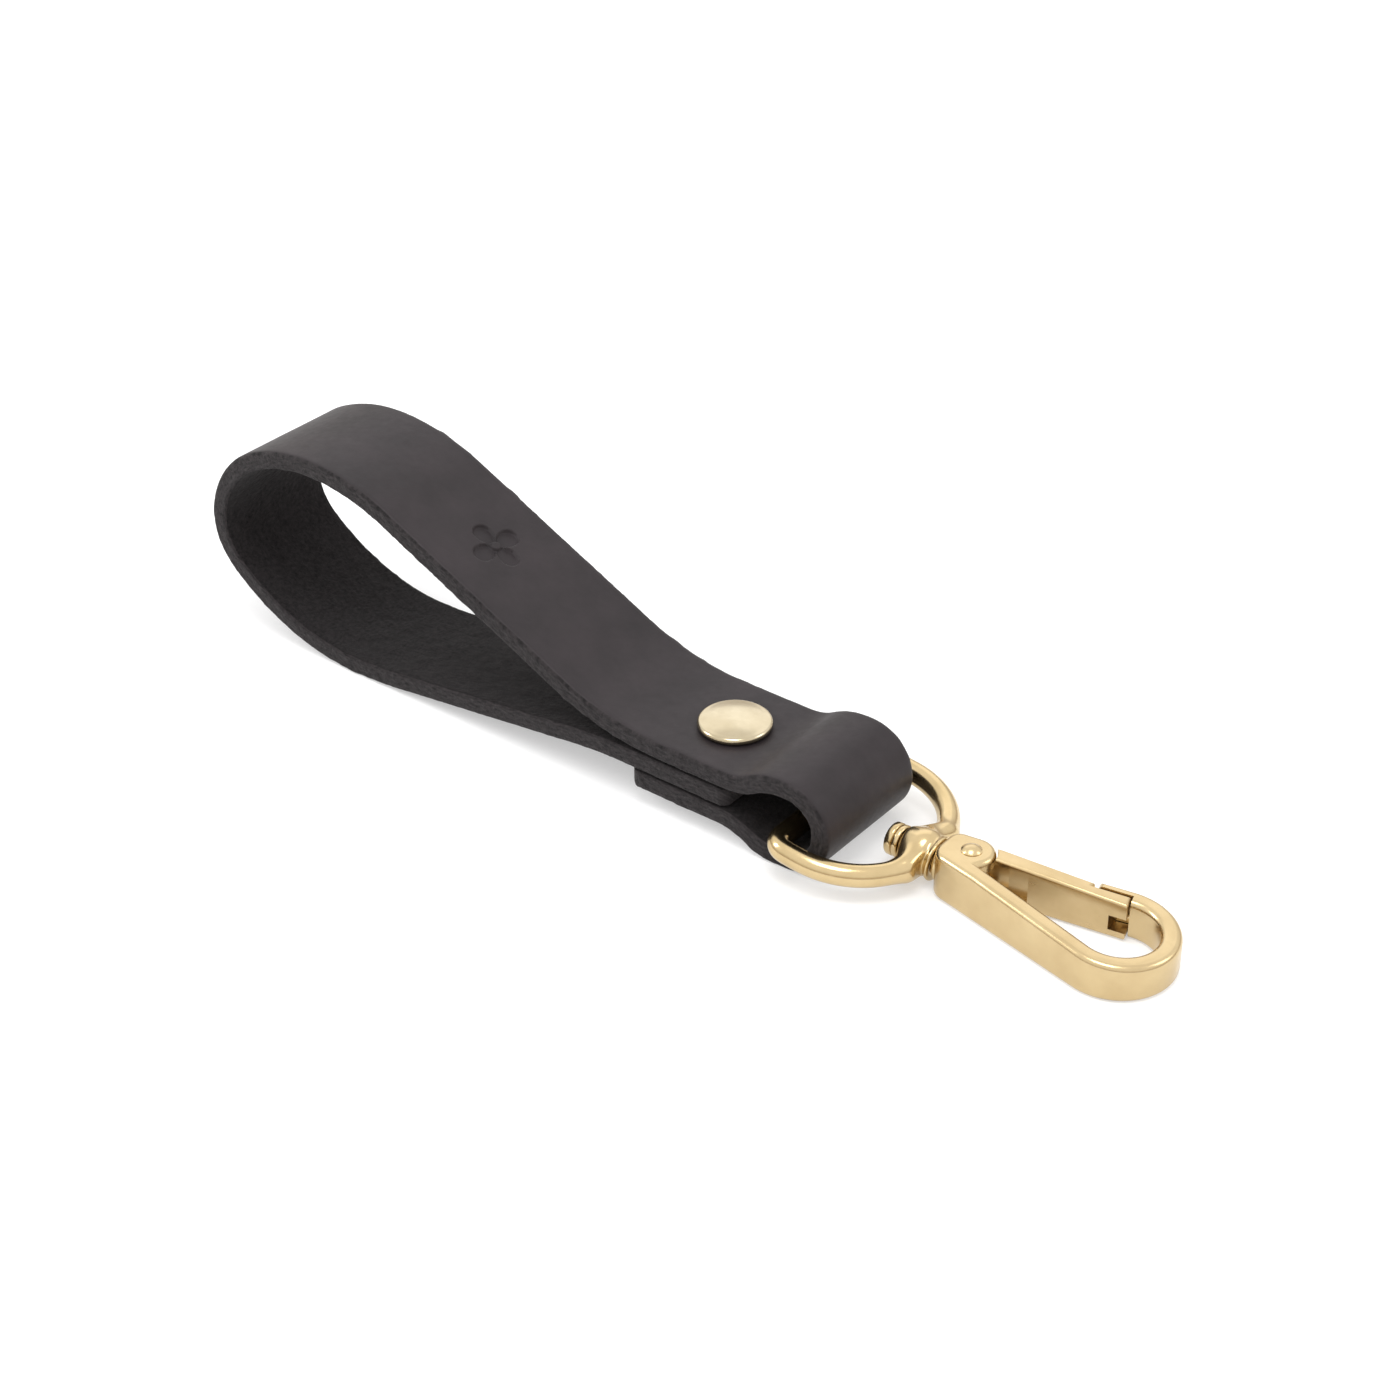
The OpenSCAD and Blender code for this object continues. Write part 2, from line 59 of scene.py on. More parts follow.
X_AXIS = Vector((1.0, 0.0, 0.0))
Y_AXIS = Vector((0.0, 1.0, 0.0))
Z_AXIS = Vector((0.0, 0.0, 1.0))
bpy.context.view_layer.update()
FINE_TURN = 96


class Slot(Enum):
    """Names of the material slots of the record."""

    LEATHER = "black_leather"
    CAP = "polished_cap"
    CAST = "cast_gold"
    SATIN = "satin_gold"
    BRUSHED = "brushed_gold"


class Body(Enum):
    """Bodies of the frame that the pieces ride on."""

    STRAP = "strap"
    RING = "ring"
    HOOK = "hook"
    GATE = "gate"


# ---------------------------------------------------------------------------------------------
# Frame
# ---------------------------------------------------------------------------------------------


def joint_place(name: str) -> Vector:
    """Place of a joint in the frame.

    Args:
        name: the joint's name.

    Returns:
        The joint's position in metres.
    """
    for joint in frame["joints"]:
        if joint["name"] == name:
            return Vector(joint["pos_m"])
    raise KeyError(name)


def middle(node: str) -> Vector:
    """Middle of a CAD node's box.

    Args:
        node: the node's name.

    Returns:
        The middle in metres.
    """
    low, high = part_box(node)
    return (low + high) / 2


# ---------------------------------------------------------------------------------------------
# Mesh helpers
# ---------------------------------------------------------------------------------------------


def ease(value: float) -> float:
    """Smooth step of a value clamped to 0 and 1."""
    value = min(max(value, 0.0), 1.0)
    return value * value * (3.0 - 2.0 * value)


def place_piece(
    mesh: bmesh.types.BMesh, name: str, finishes: Sequence[bpy.types.Material], smooth: bool = True
) -> bpy.types.Object:
    """Turns a bmesh into an object at the origin.

    Args:
        mesh: the bmesh, which is freed.
        name: the name of the piece.
        finishes: the materials of its slots.
        smooth: shades the faces smooth.

    Returns:
        The new object.
    """
    for face in mesh.faces:
        face.smooth = smooth
    data = bpy.data.meshes.new(name)
    mesh.to_mesh(data)
    mesh.free()
    for finish in finishes:
        data.materials.append(finish)
    piece = bpy.data.objects.new(name, data)
    bpy.context.scene.collection.objects.link(piece)
    return piece


def bake_modifiers(piece: bpy.types.Object) -> bpy.types.Object:
    """Writes a piece's modifiers into its mesh.

    Args:
        piece: the piece.

    Returns:
        The same piece, with no modifiers.
    """
    graph = bpy.context.evaluated_depsgraph_get()
    baked = bpy.data.meshes.new_from_object(piece.evaluated_get(graph))
    piece.modifiers.clear()
    piece.data = baked
    return piece


def cut_away(piece: bpy.types.Object, cutters: Iterable[bmesh.types.BMesh]) -> bpy.types.Object:
    """Cuts shapes out of a piece.

    Args:
        piece: the piece that is cut.
        cutters: closed shapes to take away.

    Returns:
        The same piece, cut.
    """
    for number, cutter_mesh in enumerate(cutters):
        cutter = place_piece(cutter_mesh, f"cutter_{number}", [], smooth=False)
        cut = piece.modifiers.new("cut", "BOOLEAN")
        cut.operation = "DIFFERENCE"
        cut.solver = "EXACT"
        cut.object = cutter
        bake_modifiers(piece)
        bpy.data.objects.remove(cutter)
    return piece


def soften(piece: bpy.types.Object, radius: float, segments: int = 3, limit: float = 35.0) -> None:
    """Rounds the sharp edges of a piece a little.

    Args:
        piece: the piece.
        radius: width of the rounding in metres.
        segments: steps of the rounding.
        limit: edges sharper than this many degrees are rounded.
    """
    rounding = piece.modifiers.new("rounding", "BEVEL")
    rounding.width = radius
    rounding.segments = segments
    rounding.limit_method = "ANGLE"
    rounding.angle_limit = math.radians(limit)
    rounding.use_clamp_overlap = True
    rounding.harden_normals = False
    bake_modifiers(piece)


def shade_by_angle(piece: bpy.types.Object, limit: float = 32.0) -> None:
    """Keeps edges sharper than a limit crisp in the shading.

    Args:
        piece: the piece.
        limit: the angle in degrees.
    """
    mesh = bmesh.new()
    mesh.from_mesh(piece.data)
    for edge in mesh.edges:
        if len(edge.link_faces) == 2:
            edge.smooth = edge.calc_face_angle(0.0) < math.radians(limit)
    mesh.to_mesh(piece.data)
    mesh.free()


def outward(mesh: bmesh.types.BMesh) -> None:
    """Merges doubles and turns all faces of a closed shape outwards."""
    bmesh.ops.remove_doubles(mesh, verts=mesh.verts[:], dist=2e-7)
    bmesh.ops.recalc_face_normals(mesh, faces=mesh.faces[:])
    if mesh.calc_volume(signed=True) < 0:
        bmesh.ops.reverse_faces(mesh, faces=mesh.faces[:])


@dataclass
class Pen:
    """Draws an outline with the extrude and spin operators.

    Attributes:
        start: the first point.
        axis: the normal of the plane it draws in.
    """

    start: Vector
    axis: Vector = field(default_factory=lambda: Z_AXIS.copy())

    def __post_init__(self) -> None:
        """Puts the first vertex down."""
        self.mesh = bmesh.new()
        made = bmesh.ops.create_vert(self.mesh, co=self.start)
        self.first = made["vert"][0]
        self.tip = self.first

    def line(self, *points: Vector) -> "Pen":
        """Draws straight lines to the points.

        Args:
            points: where the lines go, in order.

        Returns:
            The pen.
        """
        for point in points:
            made = bmesh.ops.extrude_vert_indiv(self.mesh, verts=[self.tip])
            self.tip = made["verts"][0]
            self.tip.co = point
        return self

    def arc(self, centre: Vector, degrees: float, steps: int) -> "Pen":
        """Draws an arc from the tip.

        Args:
            centre: the arc's centre.
            degrees: how far it turns, by the right-hand rule.
            steps: number of chords.

        Returns:
            The pen.
        """
        made = bmesh.ops.spin(
            self.mesh, geom=[self.tip], cent=centre, axis=self.axis, dvec=(0, 0, 0),
            angle=math.radians(degrees), steps=steps, use_merge=False, use_duplicate=False,
        )
        self.tip = next(item for item in made["geom_last"] if isinstance(item, bmesh.types.BMVert))
        return self

    def close(self) -> bmesh.types.BMesh:
        """Joins the tip to the first point and fills the outline.

        Returns:
            The bmesh with one face.
        """
        if (self.tip.co - self.first.co).length > 1e-7:
            bmesh.ops.contextual_create(self.mesh, geom=[self.tip, self.first])
        bmesh.ops.remove_doubles(self.mesh, verts=self.mesh.verts[:], dist=1e-7)
        bmesh.ops.contextual_create(self.mesh, geom=self.mesh.edges[:])
        return self.mesh

    def lathe(self, centre: Vector, axis: Vector, steps: int) -> bmesh.types.BMesh:
        """Spins the drawn line a full turn.

        Args:
            centre: a point on the axis.
            axis: the axis.
            steps: number of steps.

        Returns:
            The closed bmesh.
        """
        bmesh.ops.spin(
            self.mesh, geom=self.mesh.verts[:] + self.mesh.edges[:], cent=centre, axis=axis,
            dvec=(0, 0, 0), angle=math.tau, steps=steps, use_merge=True, use_duplicate=False,
        )
        outward(self.mesh)
        return self.mesh


def join(mesh: bmesh.types.BMesh, part: bmesh.types.BMesh) -> None:
    """Adds a part to a bmesh.

    Args:
        mesh: the bmesh that takes the part.
        part: the part, which is freed.
    """
    holder = bpy.data.meshes.new("part")
    part.to_mesh(holder)
    part.free()
    mesh.from_mesh(holder)
    bpy.data.meshes.remove(holder)


def thicken(mesh: bmesh.types.BMesh, height: float) -> bmesh.types.BMesh:
    """Extrudes an outline's face upwards into a slab.

    Args:
        mesh: a bmesh with flat faces.
        height: height of the slab.

    Returns:
        The same bmesh.
    """
    made = bmesh.ops.extrude_face_region(mesh, geom=mesh.faces[:])
    tops = [item for item in made["geom"] if isinstance(item, bmesh.types.BMVert)]
    bmesh.ops.translate(mesh, verts=tops, vec=(0, 0, height))
    bmesh.ops.recalc_face_normals(mesh, faces=mesh.faces[:])
    return mesh


def round_level_edges(mesh: bmesh.types.BMesh, radius: float) -> None:
    """Rounds the edges round the top and the bottom of a slab.

    Args:
        mesh: the slab.
        radius: radius of the rounding in metres.
    """
    rounded = []
    for edge in mesh.edges:
        way = (edge.verts[1].co - edge.verts[0].co).normalized()
        sharp = len(edge.link_faces) == 2 and edge.calc_face_angle(0.0) > math.radians(50)
        if sharp and abs(way.z) < 0.2:
            rounded.append(edge)
    bmesh.ops.bevel(
        mesh, geom=rounded, offset=radius, segments=6, affect="EDGES", profile=0.5,
        material=-1, clamp_overlap=False,
    )


def disc(centre: Vector, radius: float, low: float, high: float) -> bmesh.types.BMesh:
    """An upright cylinder, for cutting.

    Args:
        centre: middle of the cylinder in plan.
        radius: its radius.
        low: its lowest height.
        high: its highest height.

    Returns:
        The bmesh.
    """
    mesh = bmesh.new()
    bmesh.ops.create_cone(
        mesh, cap_ends=True, segments=FINE_TURN, radius1=radius, radius2=radius, depth=high - low,
        matrix=Matrix.Translation((centre.x, centre.y, (low + high) / 2)),
    )
    return mesh


def block(low: Vector, high: Vector) -> bmesh.types.BMesh:
    """A plain block between two corners, for cutting.

    Args:
        low: the lowest corner.
        high: the highest corner.

    Returns:
        The bmesh.
    """
    mesh = bmesh.new()
    size = high - low
    bmesh.ops.create_cube(
        mesh, size=1.0, matrix=Matrix.Translation((low + high) / 2) @ Matrix.Diagonal((*size, 1.0))
    )
    return mesh


# ---------------------------------------------------------------------------------------------
# Finishes
# ---------------------------------------------------------------------------------------------


@dataclass
class NodeBench:
    """Adds nodes to one material and wires them up.

    Attributes:
        name: the material's name.
    """

    name: str

    def __post_init__(self) -> None:
        """Makes the material with its shader."""
        self.material = bpy.data.materials.new(self.name)
        self.material.use_nodes = True
        self.tree = self.material.node_tree
        self.tree.nodes.clear()
        self.output = self.tree.nodes.new("ShaderNodeOutputMaterial")
        self.shader = self.tree.nodes.new("ShaderNodeBsdfPrincipled")
        self.tree.links.new(self.shader.outputs[0], self.output.inputs["Surface"])
        self.bump: Optional[bpy.types.NodeSocket] = None

    def coords(
        self, kind: str = "Object", scale: Sequence[float] = (1, 1, 1)
    ) -> bpy.types.NodeSocket:
        """Coordinates for a texture.

        Args:
            kind: Object or UV.
            scale: stretch along each axis.

        Returns:
            The vector socket.
        """
        where = self.tree.nodes.new("ShaderNodeTexCoord")
        mapping = self.tree.nodes.new("ShaderNodeMapping")
        mapping.inputs["Scale"].default_value = tuple(scale)
        self.tree.links.new(where.outputs[kind], mapping.inputs["Vector"])
        return mapping.outputs["Vector"]

    def grain(
        self, vector: bpy.types.NodeSocket, scale: float, detail: float = 4.0, rough: float = 0.55
    ) -> bpy.types.NodeSocket:
        """Cloudy noise.

        Args:
            vector: the coordinates.
            scale: cycles per metre.
            detail: octaves.
            rough: share of the fine octaves.

        Returns:
            The value socket.
        """
        cloud = self.tree.nodes.new("ShaderNodeTexNoise")
        cloud.inputs["Scale"].default_value = scale
        cloud.inputs["Detail"].default_value = detail
        cloud.inputs["Roughness"].default_value = rough
        self.tree.links.new(vector, cloud.inputs["Vector"])
        return cloud.outputs["Fac"]

    def cells(self, vector: bpy.types.NodeSocket, scale: float) -> bpy.types.NodeSocket:
        """Distance to the border of pebble shaped cells.

        Args:
            vector: the coordinates.
            scale: cells per metre.

        Returns:
            The value socket.
        """
        pebbles = self.tree.nodes.new("ShaderNodeTexVoronoi")
        pebbles.feature = "DISTANCE_TO_EDGE"
        pebbles.inputs["Scale"].default_value = scale
        self.tree.links.new(vector, pebbles.inputs["Vector"])
        return pebbles.outputs["Distance"]

    def span(
        self, value: bpy.types.NodeSocket, low: float, high: float,
        source: Sequence[float] = (0.0, 1.0),
    ) -> bpy.types.NodeSocket:
        """Maps a value to a new range.

        Args:
            value: the value socket.
            low: result at the source's lower end.
            high: result at its upper end.
            source: range of the value.

        Returns:
            The mapped socket.
        """
        ranged = self.tree.nodes.new("ShaderNodeMapRange")
        ranged.inputs["From Min"].default_value = source[0]
        ranged.inputs["From Max"].default_value = source[1]
        ranged.inputs["To Min"].default_value = low
        ranged.inputs["To Max"].default_value = high
        self.tree.links.new(value, ranged.inputs["Value"])
        return ranged.outputs["Result"]

    def tint(
        self, value: bpy.types.NodeSocket, stops: Sequence[tuple[float, Sequence[float]]]
    ) -> bpy.types.NodeSocket:
        """Turns a value into a colour.

        Args:
            value: the value socket.
            stops: places and colours of the ramp.

        Returns:
            The colour socket.
        """
        ramp = self.tree.nodes.new("ShaderNodeValToRGB")
        points = ramp.color_ramp.elements
        while len(points) < len(stops):
            points.new(0.5)
        for point, (place, colour) in zip(points, stops):
            point.position = place
            point.color = (*colour, 1.0)
        self.tree.links.new(value, ramp.inputs["Fac"])
        return ramp.outputs["Color"]

    def raise_by(self, height: bpy.types.NodeSocket, depth: float, strength: float = 1.0) -> None:
        """Adds one layer of surface relief.

        Args:
            height: the height socket, 0 to 1.
            depth: its depth in metres.
            strength: its strength.
        """
        relief = self.tree.nodes.new("ShaderNodeBump")
        relief.inputs["Distance"].default_value = depth
        relief.inputs["Strength"].default_value = strength
        self.tree.links.new(height, relief.inputs["Height"])
        if self.bump is not None:
            self.tree.links.new(self.bump, relief.inputs["Normal"])
        self.bump = relief.outputs["Normal"]
        self.tree.links.new(self.bump, self.shader.inputs["Normal"])

    def link(self, value: bpy.types.NodeSocket, socket: str) -> None:
        """Wires a value to one of the shader's sockets."""
        self.tree.links.new(value, self.shader.inputs[socket])

    def fix(self, **values: object) -> None:
        """Sets constants on the shader, with underscores for spaces in the socket names."""
        for socket, value in values.items():
            self.shader.inputs[socket.replace("_", " ")].default_value = value


@dataclass(frozen=True)
class GrainLeather:
    """Smooth dyed grain side of the strap."""

    dark: tuple[float, float, float] = (0.0115, 0.0080, 0.0092)
    light: tuple[float, float, float] = (0.0230, 0.0165, 0.0188)
    pore_scale: float = 3800.0
    wrinkle_scale: float = 900.0

    def make(self) -> bpy.types.Material:
        """Builds the material."""
        bench = NodeBench("leather_grain")
        place = bench.coords()
        cloud = bench.grain(place, 140.0, 3.0)
        fine = bench.grain(place, self.wrinkle_scale, 5.0)
        bench.link(bench.tint(cloud, ((0.25, self.dark), (0.75, self.light))), "Base Color")
        bench.link(bench.span(fine, 0.42, 0.60), "Roughness")
        bench.fix(Specular_IOR_Level=0.28, Sheen_Weight=0.03, Sheen_Roughness=0.5)
        bench.raise_by(bench.cells(place, self.pore_scale), 0.00003, 0.35)
        bench.raise_by(fine, 0.00008, 0.25)
        bench.raise_by(cloud, 0.0006, 0.12)
        return bench.material


@dataclass(frozen=True)
class FleshLeather:
    """Napped flesh side, inside the loop."""

    dark: tuple[float, float, float] = (0.0025, 0.0021, 0.0022)
    light: tuple[float, float, float] = (0.026, 0.0215, 0.0225)

    def make(self) -> bpy.types.Material:
        """Builds the material."""
        bench = NodeBench("leather_flesh")
        place = bench.coords()
        fibres = bench.grain(place, 1700.0, 8.0, 0.7)
        clumps = bench.grain(place, 420.0, 4.0)
        bench.link(bench.tint(fibres, ((0.3, self.dark), (0.8, self.light))), "Base Color")
        bench.link(bench.span(clumps, 0.8, 1.0), "Roughness")
        bench.fix(Specular_IOR_Level=0.12, Sheen_Weight=0.05, Sheen_Roughness=0.6)
        bench.raise_by(fibres, 0.00025, 0.8)
        bench.raise_by(clumps, 0.0006, 0.6)
        return bench.material


@dataclass(frozen=True)
class CutLeather:
    """Raw cut edge with its layered fibres."""

    dark: tuple[float, float, float] = (0.0050, 0.0040, 0.0044)
    light: tuple[float, float, float] = (0.050, 0.042, 0.044)

    def make(self) -> bpy.types.Material:
        """Builds the material."""
        bench = NodeBench("leather_cut_edge")
        place = bench.coords("UV")
        streaks = bench.grain(bench.coords("UV", (0.35, 1.0, 1.0)), 2600.0, 7.0, 0.65)
        fibres = bench.grain(bench.coords(), 2400.0, 8.0, 0.7)
        clumps = bench.grain(place, 500.0, 3.0)
        bench.link(bench.tint(streaks, ((0.35, self.dark), (0.8, self.light))), "Base Color")
        bench.link(bench.span(clumps, 0.6, 0.95), "Roughness")
        bench.fix(Specular_IOR_Level=0.22, Sheen_Weight=0.05)
        bench.raise_by(fibres, 0.0003, 0.7)
        bench.raise_by(clumps, 0.0005, 0.5)
        return bench.material


@dataclass(frozen=True)
class GoldMetal:
    """Plated metal, from polished to satin or brushed.

    Attributes:
        name: the material's name.
        dark: colour of the duller patches.
        light: colour of the brighter patches.
        rough: lowest and highest roughness.
        lines: stretch of the brush lines along each axis.
        line_depth: depth of the brush lines in metres.
        ripple: depth of the slow waviness in metres.
    """

    name: str
    dark: tuple[float, float, float]
    light: tuple[float, float, float]
    rough: tuple[float, float]
    lines: tuple[float, float, float] = (1.0, 1.0, 1.0)
    line_depth: float = 0.0
    ripple: float = 0.0

    def make(self) -> bpy.types.Material:
        """Builds the material."""
        bench = NodeBench(self.name)
        place = bench.coords()
        patches = bench.grain(place, 220.0, 3.0)
        scuffs = bench.grain(bench.coords("Object", self.lines), 1500.0, 2.0, 0.5)
        bench.link(bench.tint(patches, ((0.3, self.dark), (0.7, self.light))), "Base Color")
        bench.link(bench.span(scuffs, *self.rough, source=(0.25, 0.75)), "Roughness")
        bench.fix(Metallic=1.0)
        if self.line_depth > 0:
            bench.raise_by(scuffs, self.line_depth, 1.0)
        if self.ripple > 0:
            bench.raise_by(patches, self.ripple, 1.0)
        return bench.material


POLISHED = GoldMetal(
    "polished_cap", (0.50, 0.42, 0.28), (0.60, 0.52, 0.37), (0.12, 0.22), ripple=6e-6
)
CAST = GoldMetal("cast_gold", (0.55, 0.415, 0.215), (0.65, 0.50, 0.28), (0.17, 0.22), ripple=3e-6)
SATIN = GoldMetal(
    "satin_gold", (0.55, 0.415, 0.225), (0.62, 0.48, 0.27), (0.22, 0.27), ripple=4e-6
)
BRUSHED = GoldMetal(
    "brushed_gold", (0.54, 0.405, 0.215), (0.64, 0.49, 0.275), (0.26, 0.38), (0.06, 1.0, 1.0), 6e-6
)
STEEL = GoldMetal(
    "spring_steel", (0.42, 0.42, 0.43), (0.58, 0.58, 0.60), (0.25, 0.45), line_depth=4e-6
)


# ---------------------------------------------------------------------------------------------
# Leather strap
# ---------------------------------------------------------------------------------------------


@dataclass(frozen=True)
class Run:
    """One stretch of the strap's centre line, straight or an arc.

    Attributes:
        radius: bend radius, or 0 for a straight.
        turn: turn in degrees, left positive.
        length: length of a straight.
    """

    radius: float
    turn: float
    length: float

    def size(self) -> float:
        """Length along the centre line."""
        return self.length if self.radius == 0 else self.radius * abs(math.radians(self.turn))

    def stride(self, heading: float, share: float = 1.0) -> Vector:
        """Way from the run's start to a share of it.

        Args:
            heading: heading at the start in degrees.
            share: how much of the run, 0 to 1.

        Returns:
            The way in the X-Z plane.
        """
        start = math.radians(heading)
        if self.radius == 0:
            return Vector((math.cos(start), 0.0, math.sin(start))) * self.length * share
        end = math.radians(heading + self.turn * share)
        reach = math.copysign(self.radius, self.turn)
        way = Vector((math.sin(end) - math.sin(start), 0.0, math.cos(start) - math.cos(end)))
        return way * reach


# Places in LeatherStrap.runs of the level seat under the cap and of the crown.
SEAT_RUN, CROWN_RUN = 8, 11


@dataclass
class LeatherStrap:
    """The strap: cut flat, its edges rounded and its mark pressed, then bent into shape.

    Lengths are in metres and angles in degrees.
    """

    width: float = 0.019
    thickness: float = 0.0027
    layer_gap: float = 0.00015
    lift: float = 0.0023
    flap_reach: float = 0.010
    inner_reach: float = 0.0058
    fold_reach: float = 0.0151
    fold_height: float = 0.0132
    seat_reach: float = 0.0053
    under_seat_reach: float = 0.0042
    fold_top_angle: float = 31.0
    fold_under_angle: float = 27.0
    sweep_radius: float = 0.040
    slope_angle: float = 25.4
    slope_length: float = 0.0327
    crown_radius: float = 0.0332
    shoulder: tuple[float, float] = (0.0246, 25.8)
    brow: tuple[float, float] = (0.0151, 47.4)
    nose_radius: float = 0.0088
    chin_angle: float = 48.5
    keel_radius: float = 0.068
    floor_angle: float = 7.3
    rejoin_radius: float = 0.070
    edge_round: float = 0.0005
    corner_clip: float = 0.0009
    cell: float = 0.00045
    edge_cell: float = 0.0004
    mark_setback: float = 0.0120
    mark_radius: float = 0.0041
    mark_depth: float = 0.00045
    mark_heart: float = 0.0006
    mark_slopes: tuple[float, float] = (0.00028, 0.00025)
    mark_patch: float = 0.0052
    corner_reach: float = 0.003
    edge_band: float = 0.0008
    fray_depth: float = 0.00010
    wave_depth: float = 0.00008
    nick_depth: float = 0.00050
    nap_depth: float = 0.00005
    nap_sink: float = 0.00004
    slow_depth: float = 0.00005
    dent_depth: float = 0.00010
    dent_ring: tuple[float, float] = (0.0047, 0.0016)

    def __post_init__(self) -> None:
        """Works out the centre line around the rivet."""
        self.rivet = middle("rivet_top_cap")
        self.half = self.thickness / 2
        under = self.lift + self.half
        self.mid = under + self.thickness + self.layer_gap
        self.top = self.mid + self.thickness + self.layer_gap
        cos, sin = (lambda a: math.cos(math.radians(a))), (lambda a: math.sin(math.radians(a)))
        under_bend = self.lift / (2 * (1 - cos(self.fold_under_angle)))
        over_bend = (self.fold_height - self.top - self.half) / (2 * (1 - cos(self.fold_top_angle)))
        under_run = 2 * under_bend * sin(self.fold_under_angle)
        over_run = 2 * over_bend * sin(self.fold_top_angle)
        (shoulder_radius, shoulder_turn), (brow_radius, brow_turn) = self.shoulder, self.brow
        brow_end = shoulder_turn + brow_turn
        crown = (
            self.top + (self.sweep_radius + self.crown_radius) * (1 - cos(self.slope_angle))
            + self.slope_length * sin(self.slope_angle)
        )
        waist = (
            crown - shoulder_radius * (1 - cos(shoulder_turn))
            - brow_radius * (cos(shoulder_turn) - cos(brow_end)) - self.nose_radius * cos(brow_end)
        )
        chin = waist - self.nose_radius * sin(self.chin_angle)
        belly = (chin - self.half) / (1 - sin(self.chin_angle))
        rise = self.mid - self.half
        floor_run = (
            rise - (self.keel_radius + self.rejoin_radius) * (1 - cos(self.floor_angle))
        ) / sin(self.floor_angle)
        self.runs = [
            Run(0, 0, self.flap_reach + self.under_seat_reach),
            Run(under_bend, -self.fold_under_angle, 0),
            Run(under_bend, self.fold_under_angle, 0),
            Run(0, 0, self.fold_reach - self.under_seat_reach - under_run),
            Run(self.fold_height / 2 - self.half, 180, 0),
            Run(0, 0, self.fold_reach - self.seat_reach - over_run),
            Run(over_bend, self.fold_top_angle, 0),
            Run(over_bend, -self.fold_top_angle, 0),
            Run(0, 0, 2 * self.seat_reach),
            Run(self.sweep_radius, -self.slope_angle, 0),
            Run(0, 0, self.slope_length),
            Run(self.crown_radius, self.slope_angle, 0),
            Run(shoulder_radius, shoulder_turn, 0),
            Run(brow_radius, brow_turn, 0),
            Run(self.nose_radius, 90 - brow_end, 0),
            Run(self.nose_radius, self.chin_angle, 0),
            Run(belly, 90 - self.chin_angle, 0),
            Run(self.keel_radius, self.floor_angle, 0),
            Run(0, 0, floor_run),
            Run(self.rejoin_radius, -self.floor_angle, 0),
        ]
        self.starts: list[tuple[float, Vector, float]] = []
        along, heading = 0.0, 0.0
        spot = Vector((self.rivet.x - self.flap_reach, self.rivet.y, under))
        for run in self.runs:
            self.starts.append((along, spot.copy(), heading))
            spot = spot + run.stride(heading)
            along += run.size()
            heading += run.turn
        tail = Run(0, 0, self.rivet.x + self.inner_reach - spot.x)
        self.starts.append((along, spot.copy(), heading))
        self.runs.append(tail)
        self.length = along + tail.size()

    def bend(self, along: float, across: float, depth: float) -> Vector:
        """Place of a point of the flat strap once it is bent.

        Args:
            along: distance from the outer end.
            across: distance from the middle line.
            depth: height over the middle layer, towards the flesh side.

        Returns:
            The place in the frame.
        """
        index = max(i for i, (start, _, _) in enumerate(self.starts) if start <= max(along, 0.0))
        start, spot, heading = self.starts[index]
        run = self.runs[index]
        share = (along - start) / run.size()
        turned = math.radians(heading + run.turn * share)
        place = spot + run.stride(heading, share)
        return place + Vector((-math.sin(turned), 0.0, math.cos(turned))) * depth + Y_AXIS * across

    def mark_centre(self) -> float:
        """Distance from the outer end to the middle of the pressed mark."""
        return self.starts[CROWN_RUN][0] - self.mark_setback

    def press(self, along: float, across: float) -> float:
        """Depth of the pressed mark, a plain four-leaved rosette.

        Args:
            along: distance from the outer end.
            across: distance from the middle line.

        Returns:
            Depth in metres.
        """
        u, v = along - self.mark_centre(), across
        radius = math.hypot(u, v)
        if radius > self.mark_radius:
            return 0.0
        angle = math.atan2(v, u)
        leaf = self.mark_radius * abs(math.cos(2 * angle)) ** 0.5
        outer, inner = self.mark_slopes
        petal = ease((leaf - radius) / outer) * ease((radius - self.mark_heart) / inner)
        return self.mark_depth * petal

    def shape_flat(self, mesh: bmesh.types.BMesh) -> None:
        """Adds the rounding of the corners, the wear, the mark and the dents to the flat strap."""
        half_length, half_width = self.length / 2, self.width / 2
        cap_place = self.starts[SEAT_RUN][0] + self.seat_reach
        dent_radius, dent_width = self.dent_ring
        for vert in mesh.verts:
            x, y, z = vert.co
            along = x + half_length
            clip = max(0.0, abs(y) - (half_width - self.corner_clip))
            near_end = ease((abs(x) - (half_length - self.corner_reach)) / self.corner_reach)
            vert.co.x -= math.copysign(clip * near_end, x)
            edge = ease((abs(y) - (half_width - self.edge_band)) / self.edge_band)
            fray = noise.fractal(Vector((along * 900, z * 1400, y * 40)), 0.8, 2.2, 4)
            wave = noise.noise(Vector((along * 60, y * 30, 3.1)))
            nick = max(0.0, noise.noise(Vector((along * 420, z * 300, y * 20))) - 0.30)
            wear = fray * self.fray_depth + wave * self.wave_depth - nick * self.nick_depth
            vert.co.y += math.copysign(edge * wear, y)
            face = ease((abs(z) - self.half * 0.55) / (self.half * 0.3))
            if z > 0:
                nap = noise.fractal(Vector((along * 520, y * 520, 7.7)), 0.7, 2.3, 4)
                vert.co.z += face * (nap * self.nap_depth - self.nap_sink)
            else:
                slow = noise.noise(Vector((along * 70, y * 90, 1.3)))
                off = abs(math.hypot(along - cap_place, y) - dent_radius)
                dent = ease(1 - off / dent_width) * self.dent_depth
                vert.co.z += face * (abs(slow) * self.slow_depth + self.press(along, y) + dent)

